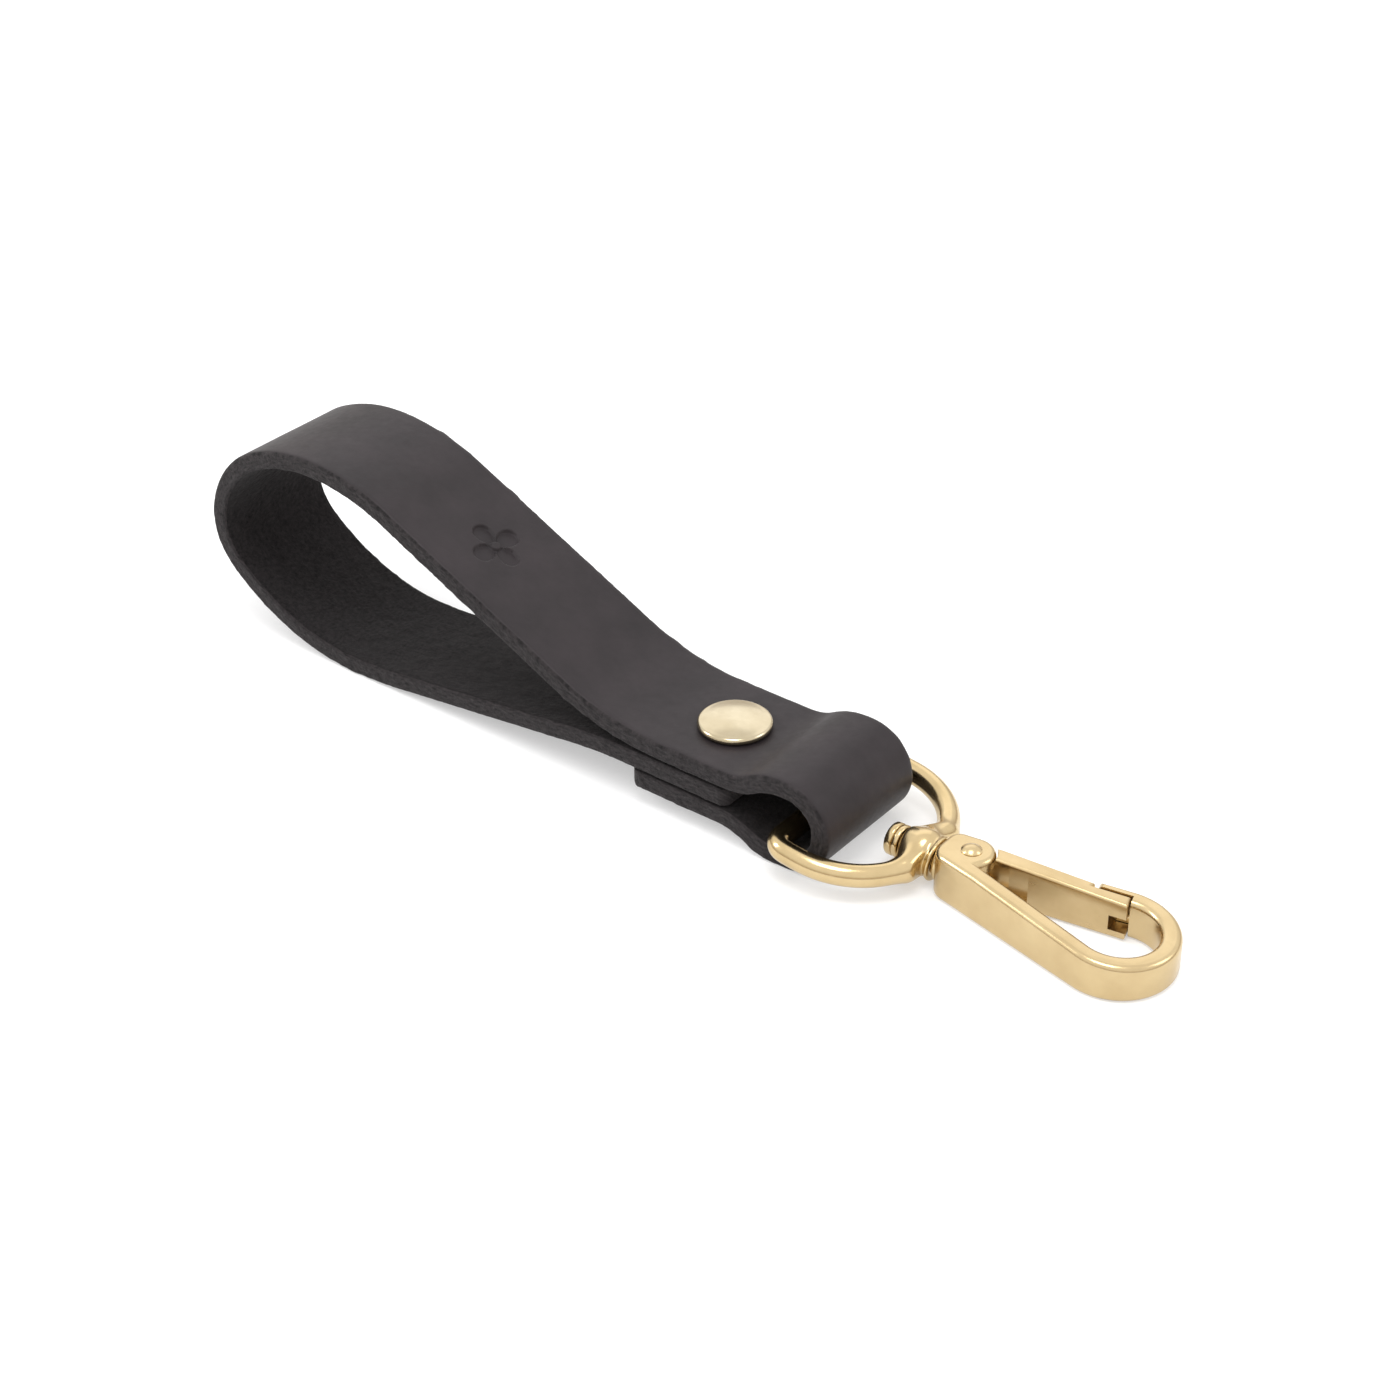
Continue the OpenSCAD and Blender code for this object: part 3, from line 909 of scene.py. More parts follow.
    def make(
        self, grain: bpy.types.Material, flesh: bpy.types.Material, cut: bpy.types.Material
    ) -> bpy.types.Object:
        """Builds the strap.

        Args:
            grain: finish of the outside.
            flesh: finish of the inside.
            cut: finish of the cut edges.

        Returns:
            The piece.
        """
        mesh = bmesh.new()
        size = Matrix.Diagonal((self.length, self.width, self.thickness, 1.0))
        bmesh.ops.create_cube(mesh, size=1.0, matrix=size)
        bmesh.ops.bevel(
            mesh, geom=mesh.edges[:], offset=self.edge_round, segments=3, affect="EDGES",
            profile=0.5, material=-1,
        )
        spans = (self.length, self.width, self.thickness)
        for axis, (span, cell) in enumerate(zip(spans, (self.cell, self.cell, self.edge_cell))):
            long_edges = [
                edge for edge in mesh.edges
                if abs(edge.verts[0].co[axis] - edge.verts[1].co[axis]) > span * 0.4
            ]
            bmesh.ops.subdivide_edges(
                mesh, edges=long_edges, cuts=round(span / cell) - 1, use_grid_fill=True
            )
        stamped = [
            face for face in mesh.faces
            if face.normal.z < -0.9
            and abs(face.calc_center_median().x + self.length / 2 - self.mark_centre())
            < self.mark_patch
            and abs(face.calc_center_median().y) < self.mark_patch
        ]
        edges = list({edge for face in stamped for edge in face.edges})
        bmesh.ops.subdivide_edges(mesh, edges=edges, cuts=2, use_grid_fill=True)
        bmesh.ops.recalc_face_normals(mesh, faces=mesh.faces[:])
        layer = mesh.loops.layers.uv.new("strap")
        for face in mesh.faces:
            normal = face.normal
            face.material_index = 2 if abs(normal.z) < 0.75 else (1 if normal.z > 0 else 0)
            for loop in face.loops:
                x, y, z = loop.vert.co
                loop[layer].uv = (x + self.length / 2, y + (z if face.material_index == 2 else 0.0))
        self.shape_flat(mesh)
        for vert in mesh.verts:
            x, y, z = vert.co
            vert.co = self.bend(x + self.length / 2, y, z)
        outward(mesh)
        piece = place_piece(mesh, "strap_leather", (grain, flesh, cut))
        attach(piece, Body.STRAP.value)
        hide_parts("leather_strap")
        return piece


# ---------------------------------------------------------------------------------------------
# Rivet
# ---------------------------------------------------------------------------------------------


@dataclass
class CapRivet:
    """Double cap rivet through the strap's three layers."""

    roll_share: float = 0.32
    steps: int = 128

    def cap(self, node: str, name: str, up: bool, finish: bpy.types.Material) -> bpy.types.Object:
        """Builds one domed cap.

        Args:
            node: the CAD node it replaces.
            name: name of the piece.
            up: the dome is above.
            finish: its material.

        Returns:
            The piece.
        """
        low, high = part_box(node)
        centre = middle(node)
        radius, height = (high.x - low.x) / 2, high.z - low.z
        base, way = (low.z, 1.0) if up else (high.z, -1.0)
        roll = height * self.roll_share
        rim, crown = radius - roll, height - 2 * roll
        dome = (rim * rim + crown * crown) / (2 * crown)
        spread = math.degrees(math.asin((rim - 0.0002) / dome))
        start = Vector((centre.x, centre.y, base + way * height))
        pen = Pen(start, Y_AXIS * way)
        pen.arc(Vector((centre.x, centre.y, base + way * (height - dome))), spread, 14)
        pen.line(Vector((centre.x + rim + 0.00005, centre.y, base + way * (2 * roll + 0.00001))))
        pen.arc(Vector((centre.x + rim, centre.y, base + way * roll)), 175, 12)
        pen.line(Vector((centre.x, centre.y, base + way * 0.00002)))
        mesh = pen.lathe(centre, Z_AXIS, self.steps)
        piece = place_piece(mesh, name, (finish,))
        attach(piece, Body.STRAP.value)
        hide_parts(node)
        return piece

    def make(self, finish: bpy.types.Material, core: bpy.types.Material) -> list[bpy.types.Object]:
        """Builds both caps and dresses the socket and the post.

        Args:
            finish: material of the caps.
            core: material of the socket and the post.

        Returns:
            The new pieces.
        """
        for node in ("rivet_socket", "rivet_post"):
            dress(node, core)
        return [
            self.cap("rivet_top_cap", "rivet_cap_upper", True, finish),
            self.cap("rivet_under_cap", "rivet_cap_lower", False, finish),
        ]


def dress(node: str, finish: bpy.types.Material) -> None:
    """Gives a CAD node its finish.

    Args:
        node: the node.
        finish: the material.
    """
    data = frame["nodes"][node].data
    data.materials.clear()
    data.materials.append(finish)


# ---------------------------------------------------------------------------------------------
# Swivel ring
# ---------------------------------------------------------------------------------------------


@dataclass
class SwivelRing:
    """Wire ring whose front bow runs into a barrel shaped boss."""

    wire: float = 0.0015
    ring_half: float = 0.0123
    bow_front_half: float = 0.0013
    bow_reach: float = 0.0044
    bar_setback: float = 0.0005
    bar_height: float = 0.0048
    corner: float = 0.0022
    sides: int = 16
    bow_sweep: float = 60.0
    flare: tuple[float, ...] = (1.04, 1.10, 1.16)
    flare_turn: float = 4.5
    boss_half: float = 0.0026
    boss_profile: tuple[tuple[float, float], ...] = (
        (-0.0026, 0.00215), (-0.0026 + 0.00025, 0.00240), (-0.0026 + 0.00120, 0.00272),
        (-0.00025, 0.00318), (0.00090, 0.00312), (0.00150, 0.00278), (0.00190, 0.00292),
        (0.0026 - 0.00025, 0.00322), (0.0026, 0.00300),
    )
    bore: float = 0.00148
    levels: int = 2

    def __post_init__(self) -> None:
        """Reads the boss and the bar from the joints."""
        self.boss = joint_place("hook_swivel")
        fold = joint_place("ring_swing")
        self.bar = Vector((fold.x - self.bar_setback, fold.y, self.bar_height))
        self.reach = (self.boss - self.bar).length
        self.tilt = math.asin((self.bar.z - self.boss.z) / self.reach)

    def wire_half(self, mesh: bmesh.types.BMesh) -> None:
        """Sweeps the wire from the middle of the bar to the boss, on the +Y side.

        Args:
            mesh: the bmesh that takes the wire.
        """
        swell = 6.0 / (4.0 + 2.0 * math.cos(math.tau / self.sides))
        turn = Matrix.Rotation(math.pi / 2, 4, "X") @ Matrix.Rotation(math.pi / self.sides, 4, "Z")
        made = bmesh.ops.create_circle(
            mesh, cap_ends=False, segments=self.sides, radius=self.wire * swell,
            matrix=Matrix.Translation((-self.reach, 0.0, 0.0)) @ turn,
        )
        verts = made["verts"]
        edges = list({edge for vert in verts for edge in vert.link_edges})

        def push(edges: list, way: Vector) -> list:
            """Extrudes the open end along a straight."""
            new = bmesh.ops.extrude_edge_only(mesh, edges=edges)["geom"]
            ends = [item for item in new if isinstance(item, bmesh.types.BMVert)]
            bmesh.ops.translate(mesh, verts=ends, vec=way)
            return [i for i in new if isinstance(i, bmesh.types.BMEdge)]

        def swing(edges: list, centre: Vector, degrees: float, steps: int) -> list:
            """Spins the open end round a bend."""
            ends = list({vert for edge in edges for vert in edge.verts})
            new = bmesh.ops.spin(
                mesh, geom=ends + edges, cent=centre, axis=Z_AXIS, dvec=(0, 0, 0),
                angle=math.radians(degrees), steps=steps, use_merge=False, use_duplicate=False,
            )["geom_last"]
            return [i for i in new if isinstance(i, bmesh.types.BMEdge)]

        bar_half = self.ring_half - self.corner
        for _ in range(4):
            edges = push(edges, Vector((0.0, bar_half / 4, 0.0)))
        edges = swing(edges, Vector((self.corner - self.reach, bar_half, 0.0)), -90, 6)
        edges = push(edges, Vector((self.bow_reach - self.corner, 0.0, 0.0)))
        centre = Vector((self.bow_reach - self.reach, self.bow_front_half, 0.0))
        edges = swing(edges, centre, -self.bow_sweep, 14)
        for growth in self.flare:
            edges = swing(edges, centre, -self.flare_turn, 1)
            rim = list({vert for edge in edges for vert in edge.verts})
            hub = sum((vert.co for vert in rim), Vector()) / len(rim)
            bmesh.ops.scale(mesh, vec=(growth,) * 3, space=Matrix.Translation(-hub), verts=rim)

    def make(self, finish: bpy.types.Material) -> bpy.types.Object:
        """Builds the ring.

        Args:
            finish: its material.

        Returns:
            The piece.
        """
        mesh = bmesh.new()
        self.wire_half(mesh)
        bmesh.ops.mirror(
            mesh, geom=mesh.verts[:] + mesh.edges[:] + mesh.faces[:], axis="Y", merge_dist=1e-6
        )
        bmesh.ops.remove_doubles(mesh, verts=mesh.verts[:], dist=1e-6)
        half, bore = self.boss_half, self.bore
        pen = Pen(Vector((-half, 0.0, bore)), Y_AXIS)
        pen.line(*(Vector((x, 0.0, radius)) for x, radius in self.boss_profile))
        pen.line(Vector((half, 0.0, bore)))
        boss = pen.mesh
        bmesh.ops.remove_doubles(boss, verts=boss.verts[:], dist=1e-7)
        closing = [v for v in boss.verts if abs(v.co.z - bore) < 1e-7]
        bmesh.ops.contextual_create(boss, geom=closing)
        bmesh.ops.spin(
            boss, geom=boss.verts[:] + boss.edges[:], cent=(0, 0, 0), axis=X_AXIS, dvec=(0, 0, 0),
            angle=math.tau, steps=16, use_merge=True, use_duplicate=False,
        )
        outward(boss)
        opening = [
            face for face in boss.faces
            if abs(face.calc_center_median().y) > abs(face.calc_center_median().z)
            and -0.0020 < face.calc_center_median().x < 0.0014
            and math.hypot(face.calc_center_median().y, face.calc_center_median().z) > 0.002
        ]
        bmesh.ops.delete(boss, geom=opening, context="FACES")
        join(mesh, boss)
        for sign in (1, -1):
            rims = [
                edge for edge in mesh.edges
                if len(edge.link_faces) == 1 and edge.verts[0].co.y * sign > 0
            ]
            bmesh.ops.bridge_loops(mesh, edges=rims)
        outward(mesh)
        bmesh.ops.transform(
            mesh, verts=mesh.verts[:],
            matrix=Matrix.Translation(self.boss) @ Matrix.Rotation(self.tilt, 4, "Y"),
        )
        piece = place_piece(mesh, "swivel_ring_cast", (finish,))
        fine = piece.modifiers.new("fine", "SUBSURF")
        fine.levels = fine.render_levels = self.levels
        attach(piece, Body.RING.value)
        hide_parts("swivel_ring")
        return piece


# ---------------------------------------------------------------------------------------------
# Hook, stud, gate and pin
# ---------------------------------------------------------------------------------------------


@dataclass
class SnapHook:
    """Hook with its fork and nose, the swivel stud, the gate and its pin."""

    pin_reach: float = 0.0043
    pin_radius: float = 0.00075
    thickness: float = 0.0066
    tip_thickness: float = 0.0050
    reach: float = 0.0259
    bend_radius: float = 0.0077
    bend_y: float = -0.001
    section: float = 0.0026
    spine_angle: float = 12.2
    ear_radius: float = 0.0031
    nose_angle: float = 14.0
    lip_thickness: float = 0.0012
    lip_length: float = 0.0046
    collar_half: float = 0.00275
    neck: float = 0.0007
    collar_round: float = 0.0018
    heel_round: float = 0.0026
    fillet: float = 0.0008
    gate_fillet: float = 0.0004
    gate_width: float = 0.0023
    gate_angle: float = 9.5
    gate_line: float = -0.0003
    gate_gap: float = 0.00025
    gate_end_gap: float = 0.00018
    gate_lift: float = 0.00015
    gate_drop: float = 0.00005
    lip_step: float = 0.00024
    lip_seam: float = 0.00014
    notch_x: tuple[float, float] = (-0.0022, 0.001)
    notch_z: tuple[float, float] = (0.00125, 0.00335)
    knuckle_radius: float = 0.0023
    pocket_reach: float = 0.0078
    pocket_depth: float = 0.0014
    pocket_span: tuple[float, float] = (0.0009, 0.0057)
    slot_half: float = 0.00175

    def __post_init__(self) -> None:
        """Works out the outline's corners from the gate's pin."""
        self.pin = joint_place("gate_hinge")
        self.base = Vector((self.pin.x - self.pin_reach, self.pin.y, 0.0))
        self.centre = self.at(self.reach, self.bend_y)
        self.inner_radius = self.bend_radius - self.section
        spine = math.radians(self.spine_angle)
        self.spine_way = Vector((math.cos(spine), -math.sin(spine), 0.0))
        self.spine_side = Vector((-math.sin(spine), -math.cos(spine), 0.0))
        nose = math.radians(self.nose_angle)
        self.nose_out = Vector((-math.sin(nose), math.cos(nose), 0.0))
        self.nose_way = Vector((-math.cos(nose), -math.sin(nose), 0.0))
        self.spine_out = self.centre + self.spine_side * self.bend_radius
        self.spine_in = self.centre + self.spine_side * self.inner_radius
        self.nose_start = self.centre + self.nose_out * self.bend_radius
        self.nose_inner = self.centre + self.nose_out * self.inner_radius
        heel_x = self.base.x + self.pin_reach - 0.0003
        back = (self.spine_out.x - heel_x) / self.spine_way.x
        self.heel = self.spine_out - self.spine_way * back
        self.taper_start = self.pin.x + self.ear_radius
        self.taper_end = self.centre.x + self.bend_radius

    def at(self, x: float, y: float, z: float = 0.0) -> Vector:
        """A place given from the swivel gap."""
        return self.base + Vector((x, y, z))

    def top_at(self, x: float) -> float:
        """Height of the top face at a place along the hook."""
        share = (x - self.taper_start) / (self.taper_end - self.taper_start)
        return self.thickness + (self.tip_thickness - self.thickness) * min(max(share, 0.0), 1.0)

    def slope_top(self, mesh: bmesh.types.BMesh, height: float, drop: float = 0.0) -> None:
        """Lets the top face of a slab slope down towards the round end.

        Args:
            mesh: the slab.
            height: height of the slab's flat top.
            drop: distance that the face stays below the hook's top.
        """
        bmesh.ops.bisect_plane(
            mesh, geom=mesh.verts[:] + mesh.edges[:] + mesh.faces[:],
            plane_co=(self.taper_start, 0, 0), plane_no=X_AXIS, dist=1e-7,
        )
        for vert in mesh.verts:
            if abs(vert.co.z - height) < 1e-7:
                vert.co.z = self.top_at(vert.co.x) - drop

    def ear_crossing(self) -> Vector:
        """Where the spine's inner line meets the round ear."""
        start = self.heel - self.spine_side * self.section - self.pin
        start.z = 0.0
        along = start.dot(self.spine_way)
        gap = self.ear_radius**2 - (start.length_squared - along**2)
        place = self.pin + start + self.spine_way * (math.sqrt(gap) - along)
        return Vector((place.x, place.y, 0.0))

    def body_mesh(self) -> bmesh.types.BMesh:
        """Outline of the hook, drawn once round and thickened."""
        crossing = self.ear_crossing()
        offset = crossing - Vector((self.pin.x, self.pin.y, 0.0))
        ear_start = math.degrees(math.atan2(offset.y, offset.x))
        sweep = 180 + self.spine_angle + self.nose_angle
        pin_plan = Vector((self.pin.x, self.pin.y, 0.0))
        neck, turn = self.neck * 0.4, self.collar_round
        lip = self.nose_way * self.lip_length
        spine = math.radians(self.spine_angle)
        back = self.base.x + neck + self.heel_round - self.heel.x
        heel_y = self.heel.y - back * math.tan(spine) + self.heel_round / math.cos(spine)
        pen = Pen(Vector((self.base.x + neck, heel_y, 0.0)))
        heel_hub = Vector((self.base.x + neck + self.heel_round, heel_y, 0.0))
        pen.arc(heel_hub, 90 - self.spine_angle, 12)
        pen.line(self.spine_out)
        pen.arc(self.centre, sweep, 72)
        pen.line(self.nose_start + lip, self.nose_inner + lip, self.nose_inner)
        pen.arc(self.centre, -sweep, 60)
        pen.line(crossing)
        pen.arc(pin_plan, 90 - ear_start, 28)
        pen.line(self.at(neck + turn, self.collar_half))
        pen.arc(self.at(neck + turn, self.collar_half - turn), 90, 8)
        mesh = thicken(pen.close(), self.thickness)
        self.slope_top(mesh, self.thickness)
        round_level_edges(mesh, self.fillet)
        return mesh

    def hook(self, finish: bpy.types.Material) -> bpy.types.Object:
        """Builds the hook with its fork slot."""
        piece = place_piece(self.body_mesh(), "hook_frame", (finish,))
        low, high = self.pin.z - self.slot_half, self.pin.z + self.slot_half
        plan = Vector((self.pin.x, self.pin.y, 0.0))
        cut_away(piece, [
            disc(plan, 0.0026, low, high),
            block(
                Vector((plan.x, plan.y - 0.0019, low)),
                Vector((plan.x + 0.0051, plan.y + 0.0045, high)),
            ),
            self.lip_space(),
        ])
        soften(piece, 0.00012, 2, 50)
        shade_by_angle(piece, 40)
        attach(piece, Body.HOOK.value)
        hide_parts("hook_body")
        return piece

    def lip_space(self) -> bmesh.types.BMesh:
        """Space under the lip, which leaves the thin lip standing on the nose, for cutting."""
        under = self.nose_start - self.nose_out * self.lip_thickness
        far = self.nose_way * (self.lip_length + 0.002)
        deep = self.nose_out * (self.section + 0.001)
        corners = (under, under + far, under + far - deep, under - deep)
        first, *others = (spot - Z_AXIS * 0.001 for spot in corners)
        pen = Pen(first)
        pen.line(*others)
        return thicken(pen.close(), self.thickness + 0.002)

    def tongue(self, finish: bpy.types.Material) -> bpy.types.Object:
        """Builds the small tongue that the gate's end notch closes over."""
        mesh = block(Vector((-0.0008, -0.0004, -0.00055)), Vector((0.0011, 0.0004, 0.00055)))
        middle_radius = self.bend_radius - self.section / 2
        spot = self.centre + self.nose_out * middle_radius + Z_AXIS * 0.0023
        turn = math.atan2(self.nose_way.y, self.nose_way.x)
        place = Matrix.Translation(spot) @ Matrix.Rotation(turn, 4, "Z")
        bmesh.ops.transform(mesh, verts=mesh.verts[:], matrix=place)
        piece = place_piece(mesh, "hook_tongue", (finish,))
        soften(piece, 0.00018, 3, 40)
        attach(piece, Body.HOOK.value)
        return piece

    def stud(self, finish: bpy.types.Material) -> list[bpy.types.Object]:
        """Builds the neck, shank and peened head, and the washer."""
        washer_low, washer_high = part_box("swivel_washer")
        head_radius = (washer_high.y - washer_low.y) / 2
        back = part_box("hook_body")[0].x
        head_end = washer_low.x
        axis = Vector((0.0, self.pin.y, self.pin.z))

        def spot(x: float, radius: float) -> Vector:
            """A profile point at a radius over the swivel's axis."""
            return axis + Vector((x, 0.0, radius))

        pen = Pen(spot(back, 0.0), Y_AXIS)
        pen.line(spot(back, head_radius - 0.0005))
        pen.arc(spot(back + 0.0004, head_radius - 0.0004), 90, 5)
        pen.line(spot(head_end - 0.00025, head_radius))
        pen.arc(spot(head_end - 0.00025, head_radius - 0.00025), 90, 4)
        pen.line(spot(head_end, 0.0014), spot(self.base.x + 0.00002, 0.0014))
        pen.line(spot(self.base.x + 0.00002, 0.0024))
        pen.arc(spot(self.base.x + 0.0007, 0.0022), 60, 6)
        pen.line(spot(self.base.x + 0.0012, 0.0027), spot(self.base.x + 0.0016, 0.0))
        stud = place_piece(pen.lathe(axis, X_AXIS, FINE_TURN), "hook_stud", (finish,))
        shade_by_angle(stud, 40)
        pen = Pen(spot(washer_low.x + 0.0002, 0.00141), Y_AXIS)
        pen.line(spot(washer_low.x, 0.0016), spot(washer_low.x, head_radius - 0.0003))
        pen.arc(spot(washer_low.x + 0.0003, head_radius - 0.0003), 90, 5)
        pen.line(spot(washer_high.x - 0.0003, head_radius))
        pen.arc(spot(washer_high.x - 0.0003, head_radius - 0.0003), 90, 5)
        pen.line(spot(washer_high.x, 0.00141), spot(washer_low.x + 0.0002, 0.00141))
        washer = place_piece(pen.lathe(axis, X_AXIS, FINE_TURN), "stud_washer", (finish,))
        shade_by_angle(washer, 40)
        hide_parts("swivel_washer")
        for piece in (stud, washer):
            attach(piece, Body.HOOK.value)
        return [stud, washer]

    def gate(self, finish: bpy.types.Material) -> bpy.types.Object:
        """Builds the gate bar with its end notch and spring pocket; the knuckle is built apart."""
        lean = math.tan(math.radians(self.gate_angle))
        wide = self.gate_width / math.cos(math.radians(self.gate_angle))
        step, seam = self.lip_step, self.lip_seam
        lip = self.lip_length * math.cos(math.radians(self.nose_angle))
        step_x = self.nose_start.x - lip - step
        under = self.nose_start - self.nose_out * (self.lip_thickness + seam)

        def edge(x: float, over: float) -> Vector:
            """A point over the gate's inner line."""
            y = self.pin.y + self.gate_line + (x - self.pin.x) * lean + over
            return Vector((x, y, self.gate_lift))

        def below_lip(x: float) -> Vector:
            """A point on the line that runs just under the lip."""
            y = under.y + (x - under.x) * self.nose_way.y / self.nose_way.x
            return Vector((x, y, self.gate_lift))

        face = self.nose_start + self.nose_way * self.gate_end_gap
        rise = face.y - self.pin.y - self.gate_line - (face.x - self.pin.x) * lean
        down = rise / (self.nose_out.y - self.nose_out.x * lean)
        inner_x = face.x - self.nose_out.x * down
        outer_x = (face - self.nose_out * (self.lip_thickness + seam)).x
        pen = Pen(edge(self.pin.x, 0.0))
        pen.line(
            edge(inner_x, 0.0),
            below_lip(outer_x),
            below_lip(step_x),
            edge(step_x, wide),
            edge(self.pin.x, wide),
        )
        mesh = thicken(pen.close(), self.thickness)
        self.slope_top(mesh, self.thickness + self.gate_lift, self.gate_drop)
        round_level_edges(mesh, self.gate_fillet)
        piece = place_piece(mesh, "gate_bar", (finish,))
        plan = Vector((self.pin.x, self.pin.y, 0.0))
        spring_room = block(
            Vector((0.0, self.gate_line - 0.002, self.pocket_span[0])),
            Vector((self.pocket_reach, self.gate_line + self.pocket_depth, self.pocket_span[1])),
        )
        turn = Matrix.Translation(plan) @ Matrix.Rotation(math.radians(self.gate_angle), 4, "Z")
        bmesh.ops.transform(spring_room, verts=spring_room.verts[:], matrix=turn)
        cut_away(piece, [
            disc(plan, self.ear_radius + self.gate_gap, -0.001, 0.008),
            block(
                Vector((inner_x + self.notch_x[0], -0.02, self.notch_z[0])),
                Vector((inner_x + self.notch_x[1], 0.02, self.notch_z[1])),
            ),
            spring_room,
        ])
        soften(piece, 0.00012, 2, 50)
        shade_by_angle(piece, 40)
        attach(piece, Body.GATE.value)
        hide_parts("gate")
        return piece

    def knuckle(self, finish: bpy.types.Material) -> bpy.types.Object:
        """Builds the gate's knuckle, between the fork's ears."""
        low, high = self.pin.z - self.slot_half + 0.0001, self.pin.z + self.slot_half - 0.0001
        lean = math.tan(math.radians(self.gate_angle))
        plan = Vector((self.pin.x, self.pin.y, low))
        wide = self.gate_width / math.cos(math.radians(self.gate_angle))
        radius, reach = self.knuckle_radius, self.ear_radius + 0.0015
        pen = Pen(plan + Vector((radius, 0, 0)))
        pen.arc(plan, 360, 48)
        mesh = thicken(pen.close(), high - low)
        inner = self.gate_line + self.pocket_depth
        arm = Pen(plan + Vector((0.0, inner, 0.0)))
        arm.line(
            plan + Vector((reach, inner + reach * lean, 0.0)),
            plan + Vector((reach, self.gate_line + reach * lean + wide, 0.0)),
            plan + Vector((0.0, self.gate_line + wide, 0.0)),
        )
        join(mesh, thicken(arm.close(), high - low))
        piece = place_piece(mesh, "gate_knuckle", (finish,))
        soften(piece, 0.00015, 2, 40)
        shade_by_angle(piece, 40)
        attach(piece, Body.GATE.value)
        return piece

    def pin_piece(self, finish: bpy.types.Material) -> bpy.types.Object:
        """Builds the pin with its domed head."""
        low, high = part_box("gate_pin")
        radius = (high.x - low.x) / 2
        face = self.thickness
        rise = high.z - face
        dome = (radius**2 + rise**2) / (2 * rise)
        spread = math.degrees(math.asin(radius / dome))
        centre = Vector((self.pin.x, self.pin.y, 0.0))
        pen = Pen(centre + Z_AXIS * high.z, Y_AXIS)
        pen.arc(centre + Z_AXIS * (high.z - dome), spread * 0.93, 12)
        pen.line(
            centre + Vector((radius, 0, face + 0.00008)),
            centre + Vector((radius - 0.00002, 0, face - 0.0001)),
            centre + Vector((self.pin_radius, 0, face - 0.0001)),
            centre + Vector((self.pin_radius, 0, low.z)),
        )
        pen.line(centre + Z_AXIS * low.z)
        piece = place_piece(pen.lathe(centre, Z_AXIS, 64), "gate_pin_domed", (finish,))
        shade_by_angle(piece, 40)
        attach(piece, Body.HOOK.value)
        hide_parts("gate_pin")
        return piece

    def make(self, satin: bpy.types.Material, cast: bpy.types.Material,
             brushed: bpy.types.Material, steel: bpy.types.Material) -> list[bpy.types.Object]:
        """Builds every piece of the hook.

        Args:
            satin: finish of the hook and the pin.
            cast: finish of the stud and the washer.
            brushed: finish of the gate.
            steel: finish of the spring.

        Returns:
            The new pieces.
        """
        dress("gate_spring", steel)
        return [
            self.hook(satin), self.tongue(satin), *self.stud(cast),
            self.gate(brushed), self.knuckle(brushed), self.pin_piece(satin),
        ]


# ---------------------------------------------------------------------------------------------
# Studio
# ---------------------------------------------------------------------------------------------


@dataclass(frozen=True)
class SoftBox:
    """A soft rectangular lamp aimed at the keychain.

    Attributes:
        name: its name.
        azimuth: direction it stands in, in degrees.
        elevation: its height over the horizon in degrees.
        distance: distance from the keychain.
        size: its width and height.
        power: its power in watts.
    """

    name: str
    azimuth: float
    elevation: float
    distance: float
    size: tuple[float, float]
    power: float

    def make(self) -> bpy.types.Object:
        """Sets the lamp up."""
        lamp = bpy.data.lights.new(self.name, "AREA")
        lamp.shape = "RECTANGLE"
        lamp.size, lamp.size_y = self.size
        lamp.energy = self.power
        stand = bpy.data.objects.new(self.name, lamp)
        back = facing(self.azimuth, self.elevation)
        stand.location = back * self.distance
        stand.rotation_mode = "QUATERNION"
        stand.rotation_quaternion = back.to_track_quat("Z", "Y")
        bpy.context.scene.collection.objects.link(stand)
        return stand


def facing(azimuth: float, elevation: float) -> Vector:
    """Direction from the keychain to a viewer.

    Args:
        azimuth: 0 looks along +Y and 90 along -X, in degrees.
        elevation: height over the horizon in degrees.

    Returns:
        The unit direction.
    """
    a, e = math.radians(azimuth), math.radians(elevation)
    return Vector((math.sin(a) * math.cos(e), -math.cos(a) * math.cos(e), math.sin(e)))


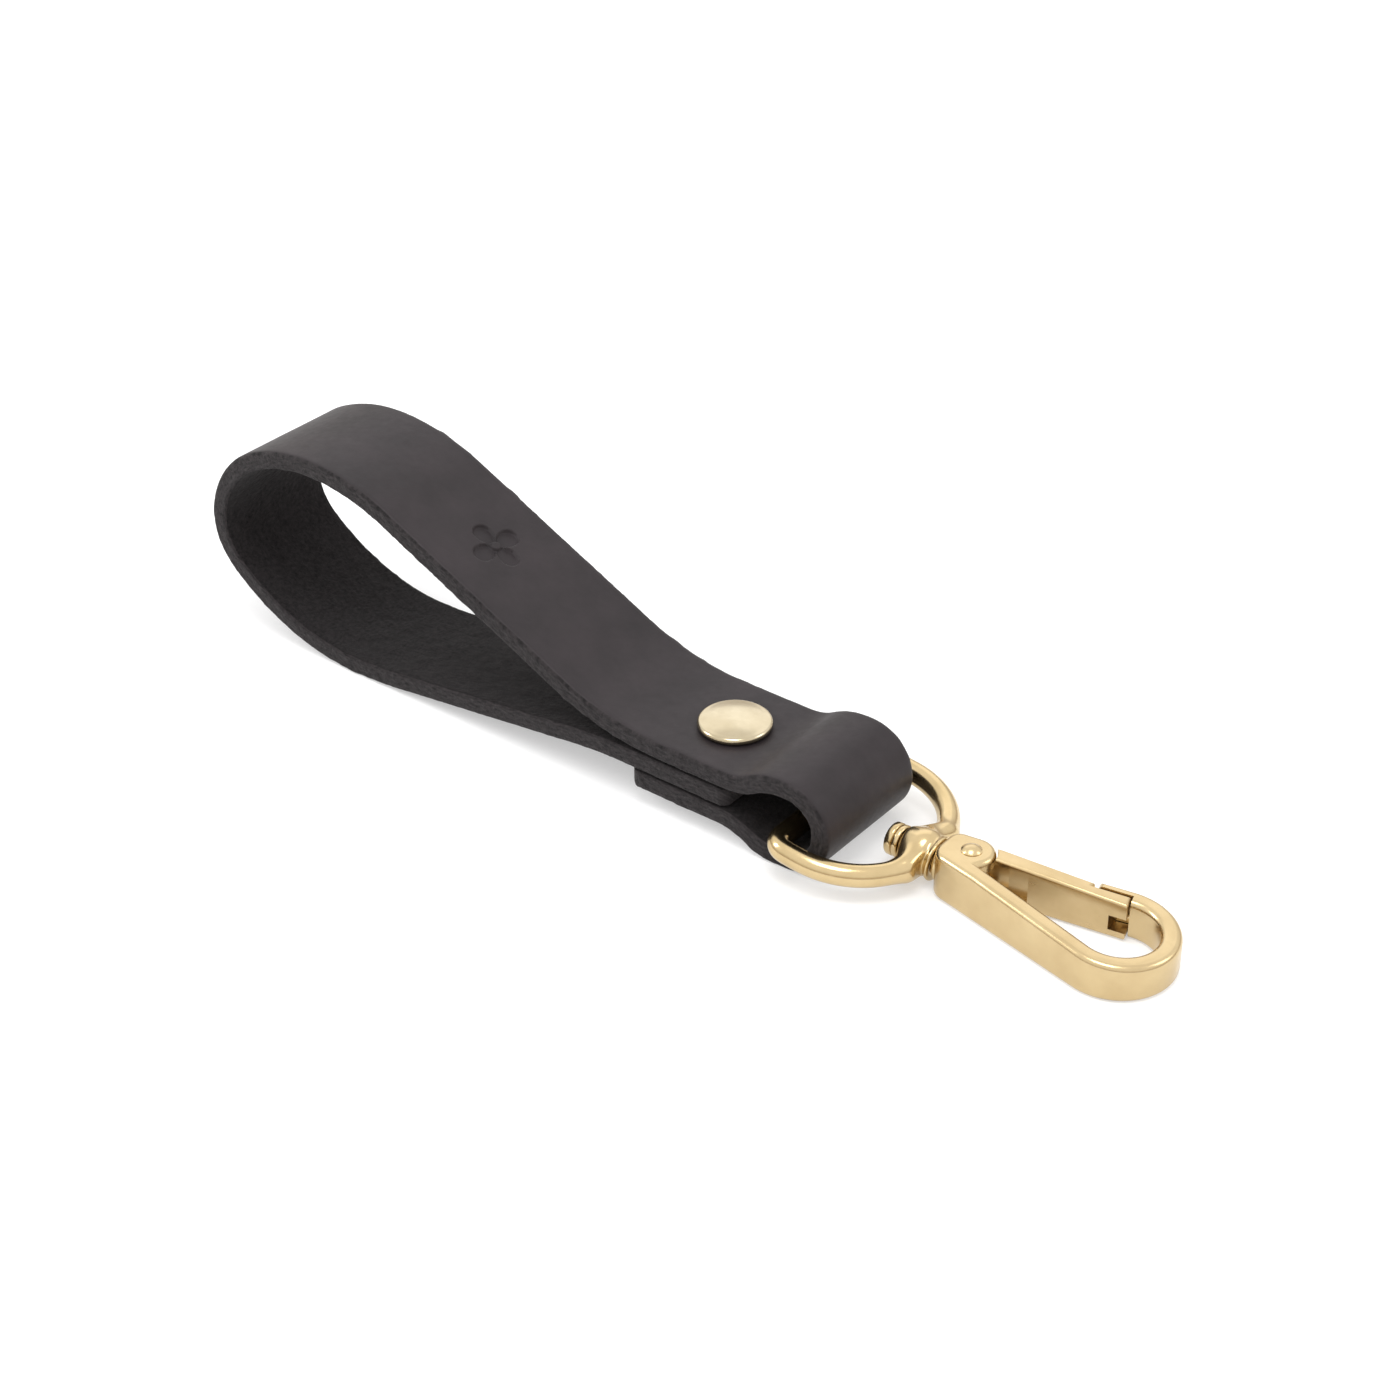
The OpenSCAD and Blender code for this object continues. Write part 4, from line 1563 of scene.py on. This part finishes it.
@dataclass
class Studio:
    """Floor, surroundings, lamps and camera."""

    azimuth: float = 38.18
    elevation: float = 33.0
    roll: float = -0.17
    lens: float = 69.43
    stand: tuple[float, float, float] = (0.18699, -0.23255, 0.20377)
    floor_size: float = 8.0
    lamps: tuple[SoftBox, ...] = (
        SoftBox("lamp_over", 20.0, 78.0, 0.9, (0.34, 0.34), 2.4),
        SoftBox("lamp_left", -60.0, 36.0, 1.0, (0.20, 0.40), 2.3),
        SoftBox("lamp_right", 125.0, 38.0, 1.0, (0.30, 0.40), 1.0),
        SoftBox("lamp_back", 218.0, 35.0, 1.0, (0.90, 0.60), 0.7),
    )

    def camera(self) -> None:
        """Sets the camera up."""
        optics = bpy.data.cameras.new("camera")
        optics.sensor_width = 36.0
        optics.lens = self.lens
        optics.clip_start, optics.clip_end = 0.01, 50.0
        holder = bpy.data.objects.new("camera", optics)
        holder.rotation_mode = "QUATERNION"
        back = facing(self.azimuth, self.elevation)
        look = back.to_track_quat("Z", "Y")
        roll = Matrix.Rotation(math.radians(self.roll), 3, "Z")
        holder.rotation_quaternion = look @ roll.to_quaternion()
        holder.location = self.stand
        bpy.context.scene.collection.objects.link(holder)
        bpy.context.scene.camera = holder

    def floor(self) -> None:
        """Lays the pale floor."""
        mesh = bmesh.new()
        bmesh.ops.create_grid(mesh, x_segments=1, y_segments=1, size=self.floor_size / 2)
        bench = NodeBench("pale_floor")
        bench.fix(Base_Color=(0.60, 0.60, 0.60, 1.0), Roughness=0.9, Specular_IOR_Level=0.1)
        bench.fix(Emission_Color=(1.0, 1.0, 1.0, 1.0), Emission_Strength=0.42)
        piece = place_piece(mesh, "floor", (bench.material,), smooth=False)

    def surroundings(self) -> None:
        """Lights the scene from a soft dome, darker near the horizon."""
        world = bpy.data.worlds.new("soft_dome")
        bpy.context.scene.world = world
        world.use_nodes = True
        tree = world.node_tree
        tree.nodes.clear()
        where = tree.nodes.new("ShaderNodeTexCoord")
        split = tree.nodes.new("ShaderNodeSeparateXYZ")
        ramp = tree.nodes.new("ShaderNodeValToRGB")
        glow = tree.nodes.new("ShaderNodeBackground")
        out = tree.nodes.new("ShaderNodeOutputWorld")
        points = ramp.color_ramp.elements
        points[0].position, points[0].color = 0.0, (0.42, 0.36, 0.29, 1.0)
        points[1].position, points[1].color = 0.42, (1.0, 1.0, 1.0, 1.0)
        tree.links.new(where.outputs["Generated"], split.inputs["Vector"])
        tree.links.new(split.outputs["Z"], ramp.inputs["Fac"])
        tree.links.new(ramp.outputs["Color"], glow.inputs["Color"])
        glow.inputs["Strength"].default_value = 1.22
        tree.links.new(glow.outputs["Background"], out.inputs["Surface"])

    def make(self) -> None:
        """Sets the whole studio up."""
        self.camera()
        self.floor()
        self.surroundings()
        for lamp in self.lamps:
            lamp.make()
        bpy.context.scene.view_settings.view_transform = "Standard"


def report(piece: bpy.types.Object) -> None:
    """Logs a piece and its size."""
    size = [round(value / MM, 2) for value in piece.dimensions]
    LOG.info("%s: %d faces, %s", piece.name, len(piece.data.polygons), size)


def main() -> None:
    """Builds the studio and every piece of the keychain."""
    logging.basicConfig(level=logging.INFO, format="%(message)s")
    Studio().make()
    strap = LeatherStrap().make(GrainLeather().make(), FleshLeather().make(), CutLeather().make())
    report(strap)
    cast, satin, brushed = CAST.make(), SATIN.make(), BRUSHED.make()
    for piece in CapRivet().make(POLISHED.make(), STEEL.make()):
        report(piece)
    report(SwivelRing().make(cast))
    for piece in SnapHook().make(satin, cast, brushed, STEEL.make()):
        report(piece)


if __name__ == "__main__":
    main()
